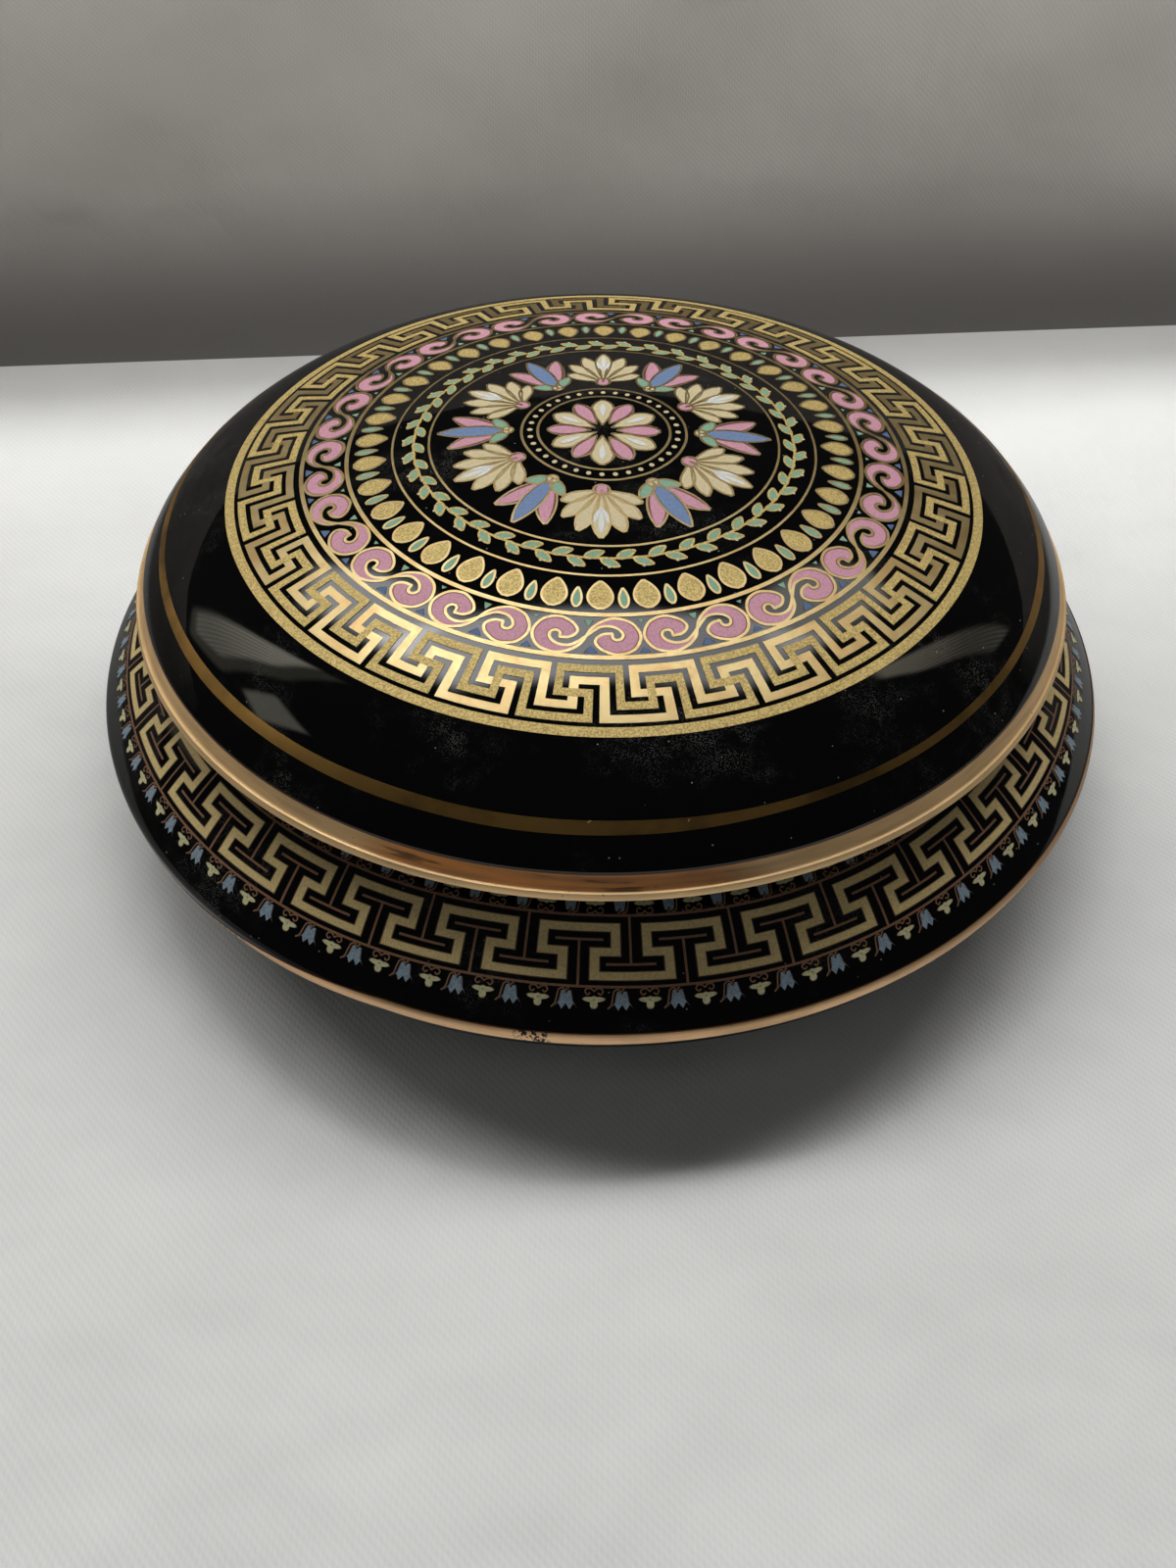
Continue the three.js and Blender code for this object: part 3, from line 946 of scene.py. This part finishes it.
# The colour of each enamel, that of its darker edge, the edge's share of a shape's width and
# how strong the grain is
enamelLook = {
    "pink": ((0.63, 0.32, 0.40), maroon, 0.19, 0.45),
    "deepBlue": ((0.10, 0.16, 0.30), umber, 0.12, 0.35),
    "paleBlue": ((0.26, 0.34, 0.41), umber, 0.12, 0.8),
    "green": ((0.24, 0.42, 0.29), umber, 0.12, 0.35),
    "cream": ((0.66, 0.56, 0.34), umber, 0.08, 0.35),
    "softBlue": ((0.18, 0.26, 0.44), umber, 0.12, 0.5),
    "white": ((0.72, 0.73, 0.70), umber, 0.02, 0.3),
    "ivory": ((0.62, 0.59, 0.34), umber, 0.14, 0.6),
    "khaki": ((0.74, 0.57, 0.26), umber, 0.15, 0.5),
    "brown": ((0.25, 0.135, 0.075), umber, 0.05, 0.35),
}
enamels = {name: makeEnamel(name + "Enamel", *look) for name, look in enamelLook.items()}
print("finishes made")


# The two ceramic bodies
def makeCeramics():
    bowl = Gathered()
    bowl.addTurned(bowlProfile())
    bowl.make("bowlGlaze", "bowl", "black_glaze", blackBowl, ["bowl"])
    lid = Gathered()
    lid.addTurned(lidProfile())
    lid.make("lidGlaze", "lid", "black_glaze", blackLid, ["lid"])


# The painted gold. Each line wanders a little, as a brush does on a wheel. The bead of the
# lip is gilded thickly enough to look flatter. On the left the edge's line slips down under
# the edge; slip pairs are degrees to the left of the front and a share of the drop.
paintedGold = {
    "shoulderLine": {
        "radius": 57.75, "wander": 0.06, "height": 0.05,
        "halfWidths": [
            (-75, 0.45), (-50, 0.58), (0, 0.56), (19, 0.44), (38, 0.36), (60, 0.39), (80, 0.46),
        ],
    },
    "edgeLine": {
        "top": 0.9, "width": 1.45, "wander": 0.09, "leftDrop": 2.6, "height": 0.06,
        "slip": [(20, 0), (47, 0.85), (75, 1), (110, 1), (160, 0)],
    },
    "lip": {
        "top": 0.1, "wander": 0.07, "lowest": 120, "height": 0.04,
        "flatFacing": 72, "flatTurn": 10, "flatRound": 2.4, "flatHeight": 0.03,
    },
}


# A smooth wobble round the box: a sum of a few waves with fixed phases
def wander(size, phases=(0.3, 1.7, 4.1), counts=(3, 7, 16)):
    waves = [np.sin(roundTheBox * n + p) / (1 + k) for k, (n, p) in enumerate(zip(counts, phases))]
    return size * sum(waves) / 1.5


def makeShoulderLine():
    s = paintedGold["shoulderLine"]
    middle = s["radius"] + wander(s["wander"])
    width = np.interp(roundTheBox / deg, *np.array(s["halfWidths"]).T, period=360)
    width = width + wander(s["wander"] * 0.6, (2.2, 0.4, 5.0), (5, 11, 23))
    line = Gathered()
    bandOn(line, onShoulder, middle - width, middle + width, s["height"], count=4)
    line.make("lidShoulderGold", "lid", "painted_gold", lineGold, ["lid_shoulder_line"])


def makeLipGold():
    s = paintedGold["lip"]
    wallFoot = flat(bowlShape["neckRadius"] + lidShape["wallOverhang"], wallRoundCentre[1], 90)
    count = 16
    outline = lipOutside(count, s["lowest"])
    towardsFlat = pointing(s["flatFacing"])
    flatCentre = beadCentre + (lidShape["lipRound"] + s["flatHeight"] - s["flatRound"]) * towardsFlat
    fromFacing, toFacing = s["flatFacing"] - s["flatTurn"], s["flatFacing"] + s["flatTurn"]
    flatBand = arc(flatCentre, s["flatRound"], fromFacing, toFacing, 12)
    hollow, underBead = outline[: count - 1], outline[-4:]
    onLip = layingTable(np.vstack([wallFoot, hollow, flatBand, underBead]), 0)
    top = s["top"] + wander(s["wander"], (1.1, 3.0, 0.2))
    lip = Gathered()
    bandOn(lip, onLip, top, onLip[0][-1, 0], s["height"], count=44)
    lip.make("lidLipGold", "lid", "painted_gold", lipGold, ["lid_lip_gilding"])


# The edge's line is measured in millimetres over the rolled edge
def makeEdgeLine():
    s = paintedGold["edgeLine"]
    belly = 90 + bowlShape["bellyTurn"]
    onEdge = layingTable(np.vstack([
        arc(edgeCentre, bowlShape["edgeRound"], 30, belly, 400),
        arc(bellyCentre, bowlShape["bellyRound"], belly, belly + 4, 100)[1:],
    ]), 0)
    slip = np.interp((fullTurn - roundTheBox) / deg, *np.array(s["slip"]).T)
    top = s["top"] + slip * s["leftDrop"] + wander(s["wander"])
    width = s["width"] + wander(s["wander"], (0.9, 2.9, 1.3), (4, 9, 21))
    line = Gathered()
    bandOn(line, onEdge, top, top + width, s["height"], count=10)
    line.make("bowlEdgeGold", "bowl", "painted_gold", edgeGold, ["bowl_edge_line"])


makeCeramics()
makeShoulderLine()
makeLipGold()
makeEdgeLine()


# The lid's key: a bright and a matt ribbon of one shape, the matt one laid over the bright.
# Corners are in units round and rows outward.
lidKey = {
    "repeats": 16,
    "units": 10,
    "firstAngle": 5.3,
    "rows": (40.6, 42.15, 43.75, 45.3, 46.9),
    "corners": [
        (0, 0), (4, 0), (4, 3), (6, 3), (6, 1), (8, 1), (8, 4), (12, 4), (12, 2), (10, 2), (10, 0),
    ],
    "ribbonHeight": 0.98,
    "brightWidth": 1.4,
    "mattWidth": 1.2,
    "mattShift": 5,
    "outerRing": (47.9, 49.1),
    "brightLift": 0.05,
    "mattLift": 0.075,
}


# The two edges of a key's ribbon, shifted by so many units and so many degrees wide
def keyRibbon(key, shift, width):
    units = unitSteps(key["corners"])
    laps = np.arange(key["repeats"])[:, None, None] * [key["units"], 0]
    path = (units + laps + [shift, 0]).reshape(-1, 2)
    unitAngle = 360 / (key["repeats"] * key["units"])
    angle = (key["firstAngle"] + path[:, 0] * unitAngle) * deg
    along = np.interp(path[:, 1], np.arange(len(key["rows"])), key["rows"])
    half = (width * deg / 2, key["ribbonHeight"] / 2)
    return ribbonEdges(np.column_stack([angle, along]), half, (fullTurn, 0))


def makeLidKey():
    k = lidKey
    bright = Gathered()
    edges = keyRibbon(k, 0, k["brightWidth"])
    slabOn(bright, onLid, ruled(*edges), k["brightLift"], closed=True)
    bright.make("lidKeyBright", "lid", "bright_gold", brightGold, ["lid_key_border"])
    matt = Gathered()
    edges = keyRibbon(k, k["mattShift"], k["mattWidth"])
    slabOn(matt, onLid, ruled(*edges), k["mattLift"], closed=True)
    bandOn(matt, onLid, *k["outerRing"], k["brightLift"])
    matt.make("lidKeyMatt", "lid", "matt_gold", mattGold)


# The lid's running scrolls: pairs of round heads that share a stem through its middle. One
# head is drawn in millimetres about its centre, x towards the stem's middle and y outward.
lidScroll = {
    "pairs": 18,
    "firstMiddle": -2.4,
    "radius": 36.2,
    "stemMiddle": (3.4, 0),
    "outer": [
        (3.4, 0), (2.78, 1.15), (1.6, 2.1), (0, 2.52), (-1.85, 1.82), (-2.72, 0), (-1.85, -1.85),
        (0, -2.48), (1.6, -1.85), (2.32, -0.95), (2.2, -0.25), (1.5, 0.3), (0.55, 0.42),
    ],
    "inner": [
        (3.4, 0), (2.6, 0.75), (1.7, 1.35), (0.6, 1.4), (-0.3, 0.98), (-0.75, 0.25), (-0.5, -0.35),
        (0.02, -0.5), (0.35, -0.32), (0.46, -0.1), (0.47, 0.1), (0.48, 0.25), (0.5, 0.4),
    ],
    "line": 0.34,
    "rings": [(32.9, 33.42), (38.8, 39.35)],
    "fillLift": 0.03,
    "lineLift": 0.055,
}


def makeLidScrolls():
    s = lidScroll
    middles = (s["firstMiddle"] + np.arange(s["pairs"]) * 360 / s["pairs"]) * deg
    stem = np.array(s["stemMiddle"])
    outer = smoothCurve(s["outer"], 4) - stem
    inner = smoothCurve(s["inner"], 4) - stem
    outline = np.vstack([outer, inner[-2:0:-1]])
    pink = Gathered()
    gold = Gathered()
    for side, lift in ((1, 0), (-1, 0.004)):
        fill = ruled(outer[1:] * side, inner[1:] * side, 6)
        slabOn(pink, onLid, around(fill, middles, s["radius"], s["radius"]), s["fillLift"])
        edges = ribbonEdges(outline * side, s["line"] / 2, (0, 0))
        line = around(ruled(*edges), middles, s["radius"], s["radius"])
        slabOn(gold, onLid, line, s["lineLift"] + lift, closed=True)
    for ring in s["rings"]:
        bandOn(gold, onLid, *ring, s["lineLift"] + 0.008)
    pink.make("lidScrollPink", "lid", "pink_enamel", enamels["pink"], ["lid_scroll_border"])
    gold.make("lidScrollGold", "lid", "bright_gold", brightGold)


# Small triangles of colour between the scrolls: half width, height, distance from the axis,
# and which way the point looks
scrollGaps = {
    "green": [(0.52, 0.85, 33.95, 0.3, 1), (0.36, 0.42, 33.9, 10.2, 1)],
    "blue": [(0.8, 0.95, 38.5, 0.9, -1), (0.62, 0.75, 38.5, 10.0, -1)],
}


def makeScrollGaps():
    angles = np.arange(lidScroll["pairs"]) * 360 / lidScroll["pairs"] + lidScroll["firstMiddle"]
    looks = {"green": ("green_enamel", enamels["green"]), "blue": ("blue_enamel", enamels["deepBlue"])}
    for colour, triangles in scrollGaps.items():
        gaps = Gathered()
        for half, height, along, offset, way in triangles:
            share = np.linspace(0, 1, 4)
            width = half * (1 - 0.92 * share**1.2)
            y = height * share * way
            left = np.column_stack([-width * way, y])
            right = np.column_stack([width * way, y])
            places = (angles + offset) * deg
            slabOn(gaps, onLid, around(ruled(left, right, 3), places, along, along), 0.03)
        slotName, material = looks[colour]
        gaps.make("lidScroll" + colour.title(), "lid", slotName, material)


makeLidKey()
makeLidScrolls()
makeScrollGaps()


# The bowl's key: a broad ribbon with thin brown lines between its arms. The distance along
# the glaze is measured from radius 56.
bowlKey = {
    "repeats": 34,
    "units": 10,
    "firstAngle": -19.3,
    "rows": (5.32, 6.67, 8.02, 9.35, 10.67),
    "corners": [(0, 0), (0, 2), (-2, 2), (-2, 4), (5, 4), (5, 2), (3, 2), (3, 0), (10, 0)],
    "ribbonWidth": 1.2,
    "ribbonHeight": 1.15,
    "lift": 0.05,
    "borders": (3.97, 11.86),
    "line": 0.3,
    "upperStem": (1.4, 9.38),
    "lowerStem": (6.5, 6.67),
    "crossbar": 2.33,
    "radius": 62,
}


def makeBowlKey():
    k = bowlKey
    ribbon = Gathered()
    slabOn(ribbon, onBowl, ruled(*keyRibbon(k, 0, k["ribbonWidth"]), 3), k["lift"], closed=True)
    ribbon.make("bowlKeyRibbon", "bowl", "khaki_enamel", enamels["khaki"], ["bowl_key_border"])


def addBrownLines(lines):
    k = bowlKey
    unit = 360 / (k["repeats"] * k["units"])
    starts = (np.arange(k["repeats"]) * 360 / k["repeats"] + k["firstAngle"]) * deg
    for border in k["borders"]:
        bandOn(lines, onBowl, border - k["line"] / 2, border + k["line"] / 2, 0.03)
    halfLine = k["line"] / 2
    for (stem, bar), border in zip((k["upperStem"], k["lowerStem"]), k["borders"]):
        share = np.linspace(0, 1, 5)
        upright = np.column_stack([np.full(5, stem * unit * deg), border + (bar - border) * share])
        halves = (halfLine / k["radius"], halfLine)
        stemGrid = ruled(*ribbonEdges(upright, halves))
        across = (stem + k["crossbar"] * np.linspace(-1, 1, 9)) * unit * deg
        barGrid = ruled(*ribbonEdges(np.column_stack([across, np.full(9, bar)]), halves))
        for grid, height in ((stemGrid, 0.03), (barGrid, 0.034)):
            turned = grid + np.stack([starts, np.zeros_like(starts)], 1)[:, None, None, :]
            slabOn(lines, onBowl, turned, height)


# The rows of small flowers along both borders of the bowl's key. Bells and trefoils are in
# millimetres, y away from the border.
flowerRow = {
    "bells": 68,
    "firstBell": -18.78,
    "radius": 65,
    "bell": {
        "top": 0.5,
        "bottom": 2.5,
        "halfWidths": [(0, 0.6), (0.35, 0.76), (0.7, 0.84), (0.88, 0.98), (1, 1.3)],
        "notch": 0.7,
        "dimple": 0.4,
    },
    "trefoil": [
        (0, 0.98), (0.3, 1.12), (0.75, 1.1), (1.16, 1.2), (1.32, 1.4), (1.05, 1.6), (0.7, 1.7),
        (0.42, 1.78), (0.46, 2.1), (0.3, 2.44), (0, 2.54),
    ],
    "trefoilMiddle": (0, 1.45),
    "curl": [(0, 0.55), (0.3, 0.25), (0.75, 0.2), (0.98, 0.55), (0.7, 0.88), (0.42, 0.66)],
    "outline": 0.17,
}


# A bell: the lower edge is a cosine with four points, the upper edge has a dimple in the middle
def bellGrid():
    s = flowerRow["bell"]
    share = np.linspace(-1, 1, 13)
    depth = np.linspace(0, 1, 6)
    knots, widths = np.array(s["halfWidths"]).T
    half = np.interp(depth, knots, widths)[:, None]
    upper = s["top"] + s["dimple"] * np.exp(-((share / 0.22) ** 2))
    lower = s["bottom"] - s["notch"] * (0.5 - 0.5 * np.cos(3 * math.pi * (share + 1)))
    lower = lower + 0.15 * (1 - np.abs(share))
    y = upper * (1 - depth[:, None]) + lower * depth[:, None]
    return np.stack([half * share, y], axis=-1)


def trefoilGrid():
    knots = np.array(flowerRow["trefoil"])
    rim = smoothCurve(np.vstack([knots, knots[-2:0:-1] * [-1, 1]]), 2, closed=True)
    middle = np.broadcast_to(flowerRow["trefoilMiddle"], rim.shape)
    return ruled(middle, rim, 3)


def curlPath(side):
    return smoothCurve(flowerRow["curl"], 3) * [side, 1]


# The brown line over a bell's left side and top stands a little off it
def outlinePath():
    grid = bellGrid()
    side = grid[::-1, 0] - [0.24, 0.05]
    over = grid[0, 2:-1:2] - [0.1, 0.26]
    return np.vstack([side, over])


def makeFlowers():
    s = flowerRow
    lines = Gathered()
    bells = Gathered()
    trefoils = Gathered()
    addBrownLines(lines)
    step = 360 / s["bells"]
    bellAngles = (s["firstBell"] + np.arange(s["bells"]) * step) * deg
    midAngles = bellAngles + step / 2 * deg
    outline = ruled(*ribbonEdges(outlinePath(), s["outline"] / 2))
    curls = [ruled(*ribbonEdges(curlPath(side), s["outline"] / 2)) for side in (1, -1)]
    for border, way in zip(bowlKey["borders"], (-1, 1)):
        bell = around(bellGrid() * way, bellAngles, s["radius"], border)
        slabOn(bells, onBowl, bell, 0.04)
        trefoil = around(trefoilGrid() * way, midAngles, s["radius"], border)
        slabOn(trefoils, onBowl, trefoil, 0.04, closed=True)
        overBell = around(outline * way, bellAngles, s["radius"], border)
        slabOn(lines, onBowl, overBell, 0.045)
        for curl in curls:
            slabOn(lines, onBowl, around(curl * way, midAngles, s["radius"], border), 0.035)
    lines.make("bowlBrownLines", "bowl", "brown_line", enamels["brown"])
    bells.make("bowlBells", "bowl", "blue_enamel", enamels["paleBlue"])
    trefoils.make("bowlTrefoils", "bowl", "cream_enamel", enamels["ivory"])


makeBowlKey()
makeFlowers()


# The medallion: a rosette, a ring of palmettes and lotus flowers, a wreath and a ring of
# tongues. A leaf has a colour, its copies round the lid and their shift as a share of a
# step, its shape (length, half width, bend to one side, how far along it is widest), its
# turn, the distance of its foot from the axis, and its layer. A leaf of layer 9 has no
# outline. Mirrored leaves are listed once, with their turn to the right.
medallion = {
    "leaves": [
        ("cream", 6, 0, (6.5, 1.5, 0, 0.64), 0, 1.1, 0),
        ("pink", 6, 0.5, (5.7, 1.3, 0, 0.62), 0, 1.6, 2),
        ("white", 6, 0, (3.4, 0.42, 0, 0.6), 0, 3.1, 9),
        ("cream", 6, 0, (5.5, 0.9, 0.5, 0.66), 60, 12.4, 0),
        ("cream", 6, 0, (7.1, 1.0, 0.4, 0.66), 39, 12.4, 1),
        ("cream", 6, 0, (8.2, 1.05, 0.2, 0.66), 19, 12.4, 2),
        ("cream", 6, 0, (8.9, 1.1, 0, 0.66), 0, 12.4, 3),
        ("white", 6, 0, (4.4, 0.36, 0, 0.6), 0, 16, 9),
        ("white", 6, 0, (3.6, 0.3, 0, 0.6), 19, 15.6, 9),
        ("pink", 6, 0.5, (8.4, 1.3, 1.3, 0.55), 17, 12.2, 0),
        ("blue", 6, 0.5, (9.4, 1.3, 0, 0.5), 0, 12.2, 2),
        ("green", 6, 0.5, (3.6, 0.8, 0.5, 0.5), 46, 12.2, 3),
        ("green", 40, 0, (2.5, 0.56, 0.2, 0.45), 56, 24.5, 0),
        ("green", 40, 0.5, (2.5, 0.56, -0.2, 0.45), 124, 24.5, 0),
        ("matt", 36, 0, (4.2, 1.45, 0, 0.42), 180, 32.3, 0),
        ("green", 36, 0.5, (2.9, 0.55, 0, 0.4), 180, 32.1, 0),
    ],
    "discs": [
        ("pink", 6, 0, 12.5, 1.0, 5),
        ("cream", 6, 0.5, 12.4, 0.75, 5),
        ("cream", 36, 0, 9.5, 0.36, 9),
        ("cream", 40, 0.25, 25.85, 0.25, 9),
    ],
    "rings": [(8.3, 8.65), (10.4, 10.75), (22.35, 22.65), (27.1, 27.4)],
    "stem": (24.35, 24.65),
    "wreathFoot": 24.5,
    "line": 0.27,
    "fillLift": 0.025,
    "lineLift": 0.035,
    "layer": 0.008,
    "unlined": 9,
}


# The two edges of a leaf from its foot to its tip, along +y: the half width is a sine of the
# length raised so that it is widest at the given share, and the spine bends as a parabola
def leafEdges(length, half, bend=0, widest=0.5, steps=11):
    share = np.linspace(0.02, 0.98, steps)
    power = math.log(0.5) / math.log(widest)
    width = half * np.sin(math.pi * share**power) ** 0.75
    spine = np.column_stack([bend * share**2, length * share])
    slope = np.column_stack([np.full(steps, length), -2 * bend * share])
    side = slope / np.linalg.norm(slope, axis=1, keepdims=True)
    return spine - side * width[:, None], spine + side * width[:, None]


# Turned by an angle and moved, still in local millimetres
def moved(points, turn, x, y):
    c, s = math.cos(turn * deg), math.sin(turn * deg)
    px, py = points[..., 0], points[..., 1]
    return np.stack([px * c + py * s + x, py * c - px * s + y], axis=-1)


# Local millimetres in plan, with y outward from the axis, laid at angles round the lid
def inPlan(local, angles):
    radius = np.hypot(local[..., 0], local[..., 1])
    turn = np.arctan2(local[..., 0], local[..., 1])
    places = np.asarray(angles).reshape(-1, *([1] * turn.ndim))
    return np.stack(np.broadcast_arrays(turn + places, radius), axis=-1)


# A filled shape between two edges, with a gold outline unless its layer has none
def addMotif(fills, lines, angles, left, right, layer, count):
    m = medallion
    lift = m["layer"] * min(layer, 4)
    grid = inPlan(ruled(left, right, count), angles)
    slabOn(fills, onLid, grid, m["fillLift"] + lift)
    if layer != m["unlined"]:
        edges = ribbonEdges(np.vstack([left, right[::-1]]), m["line"] / 2, (0, 0))
        slabOn(lines, onLid, inPlan(ruled(*edges), angles), m["lineLift"] + lift, closed=True)


def makeMedallion():
    m = medallion
    names = ("pink", "cream", "white", "blue", "green", "gold", "matt")
    parts = {name: Gathered() for name in names}
    for colour, copies, shift, shape, turn, foot, layer in m["leaves"]:
        angles = (np.arange(copies) + shift) * fullTurn / copies
        lines = parts["matt" if foot == m["wreathFoot"] else "gold"]
        mirrored = 0 < turn < 90 and foot != m["wreathFoot"]
        for side in (1, -1)[: 1 + mirrored]:
            length, half, bend, widest = shape
            edges = leafEdges(length, half, bend * side, widest)
            left, right = (moved(edge, turn * side, 0, foot) for edge in edges)
            addMotif(parts[colour], lines, angles, left, right, layer, 5)
    share = np.linspace(0.02, 0.98, 9) * math.pi
    for colour, copies, shift, middle, radius, layer in m["discs"]:
        angles = (np.arange(copies) + shift) * fullTurn / copies
        rise = middle - radius * np.cos(share)
        left, right = (
            np.column_stack([side * radius * np.sin(share), rise]) for side in (-1, 1)
        )
        addMotif(parts[colour], parts["gold"], angles, left, right, layer, 4)
    for ring in m["rings"]:
        bandOn(parts["gold"], onLid, *ring, m["lineLift"])
    bandOn(parts["matt"], onLid, *m["stem"], m["lineLift"] + 0.004)
    looks = {
        "pink": ("pink_enamel", enamels["pink"]),
        "cream": ("cream_enamel", enamels["cream"]),
        "white": ("cream_enamel", enamels["white"]),
        "blue": ("blue_enamel", enamels["softBlue"]),
        "green": ("green_enamel", enamels["green"]),
        "gold": ("bright_gold", brightGold),
        "matt": ("matt_gold", mattGold),
    }
    for name, (slotName, material) in looks.items():
        replaced = ["lid_medallion"] if name == "cream" else []
        parts[name].make("medallion" + name.title(), "lid", slotName, material, replaced)


makeMedallion()


# The cloth under the box, and the cloth that hangs behind it in soft folds
stage = {
    "backdropAt": 114,
    "backdropTurn": 5.2,
    "bend": 22,
    "reach": 900,
    "height": 110,
    "folds": [(3.2, 210, 0.7, 0.4), (1.6, 88, -0.9, 2.0), (0.7, 37, 1.2, 5.1)],
    "floor": (0.77, 0.77, 0.755),
    "backdrop": (0.46, 0.435, 0.405),
    "thread": 0.55,
    # the backdrop's foot is painted darker as shade, up to this height in millimetres
    "paintedShadeTo": 30,
    # mirrored: how dark the floor's sides and the backdrop are painted in reflections only, as shade
    "mirrored": {"floorLeft": 0.25, "floorRight": 0.4, "backdrop": 0.35, "from": 60, "to": 85},
}


# Threads are two sets of fine waves that cross. In what the glaze and gold mirror, the backdrop
# and the sides of the floor are painted darker than they look: painted shade in reflections only.
def makeCloth(name, colour, paintedShadeTo):
    f = Finish(name)
    crease = f.noise(34, 3, 0.45)
    threads = [
        f.node("ShaderNodeTexWave", {"bands_direction": way}, {
            "Vector": f.place,
            "Scale": 0.314 / (stage["thread"] * mm),
            "Distortion": 1.2,
            "Detail": 2,
            "Detail Scale": 1.5,
        }, output=1)
        for way in ("DIAGONAL", "X")
    ]
    weave = threads[0] * 0.6 + threads[1] * 0.4
    dark = tuple(0.84 * c for c in colour)
    # the creases darken the colour as painted shade, and the threads darken it along their waves
    shade = f.step(crease, 0.35, 0.7) * 0.25 + weave * 0.4
    tone = f.blend(shade, colour, dark)
    # painted shade that only reflections see
    mirrored = f.node("ShaderNodeLightPath", {}, {}, output="Is Glossy Ray")
    s = stage["mirrored"]
    x, y, z = f.axes()
    if paintedShadeTo:
        # painted shade: the backdrop darkens towards its foot
        low = 1 - f.step(z, 0, paintedShadeTo * mm)
        tone = f.blend(low, tone, tuple(0.3 * c for c in colour))
        tone = f.blend(mirrored, tone, tuple(s["backdrop"] * c for c in colour))
    else:
        left = f.step(x * -1, s["from"] * mm, s["to"] * mm)
        right = f.step(x, s["from"] * mm, s["to"] * mm)
        tone = f.blend(mirrored * left, tone, tuple(s["floorLeft"] * c for c in colour))
        tone = f.blend(mirrored * right, tone, tuple(s["floorRight"] * c for c in colour))
    return f.surface({
        "Base Color": tone,
        "Roughness": 0.9,
        "Normal": f.bump(crease * 0.8 + weave * 0.01, 4),
    })


# A sheet from a profile of distance back and height, drawn out sideways, with its folds
# standing off it by the given share
def makeSheet(name, profile, foldShare, colour, paintedShadeTo=0):
    s = stage
    across = np.linspace(-s["reach"], s["reach"], 241)
    x = np.broadcast_to(across[:, None], (len(across), len(profile)))
    y = np.broadcast_to(profile[:, 0], x.shape)
    z = np.broadcast_to(profile[:, 1], x.shape)
    for depth, length, slant, phase in s["folds"]:
        wave = np.sin(fullTurn * (x + slant * z) / length + phase)
        y = y + depth * foldShare * wave
    turn = s["backdropTurn"] * deg
    back = y - s["backdropAt"]
    xTurned = x * math.cos(turn) - back * math.sin(turn)
    yTurned = x * math.sin(turn) + back * math.cos(turn) + s["backdropAt"]
    points = np.stack([xTurned, yTurned, z], -1).reshape(-1, 3) * mm
    number = np.arange(x.size).reshape(x.shape)
    quads = np.stack([number[:-1, :-1], number[1:, :-1], number[1:, 1:], number[:-1, 1:]], -1)
    mesh = bpy.data.meshes.new(name)
    mesh.from_pydata(points.tolist(), [], quads.reshape(-1, 4).tolist())
    mesh.polygons.foreach_set("use_smooth", np.ones(len(mesh.polygons), bool))
    mesh.materials.append(makeCloth(name, colour, paintedShadeTo))
    sheet = bpy.data.objects.new(name, mesh)
    bpy.context.scene.collection.objects.link(sheet)


def makeStage():
    s = stage
    floor = np.array([(-s["reach"], 0), (0, 0), (s["backdropAt"], 0)], float)
    turn = np.linspace(0, math.pi / 2, 12)
    bend = np.column_stack([np.sin(turn), 1 - np.cos(turn)]) * s["bend"] + [s["backdropAt"], 0]
    rise = np.linspace(s["bend"], s["height"], 12)[1:]
    hanging = np.column_stack([np.full(len(rise), bend[-1, 0]), rise])
    backdrop = np.vstack([bend, hanging])
    makeSheet("floor", floor, 0, s["floor"])
    foldShare = np.clip(backdrop[:, 1] / 40, 0, 1)
    makeSheet("backdrop", backdrop, foldShare, s["backdrop"], s["paintedShadeTo"])


makeStage()
print("stage set")
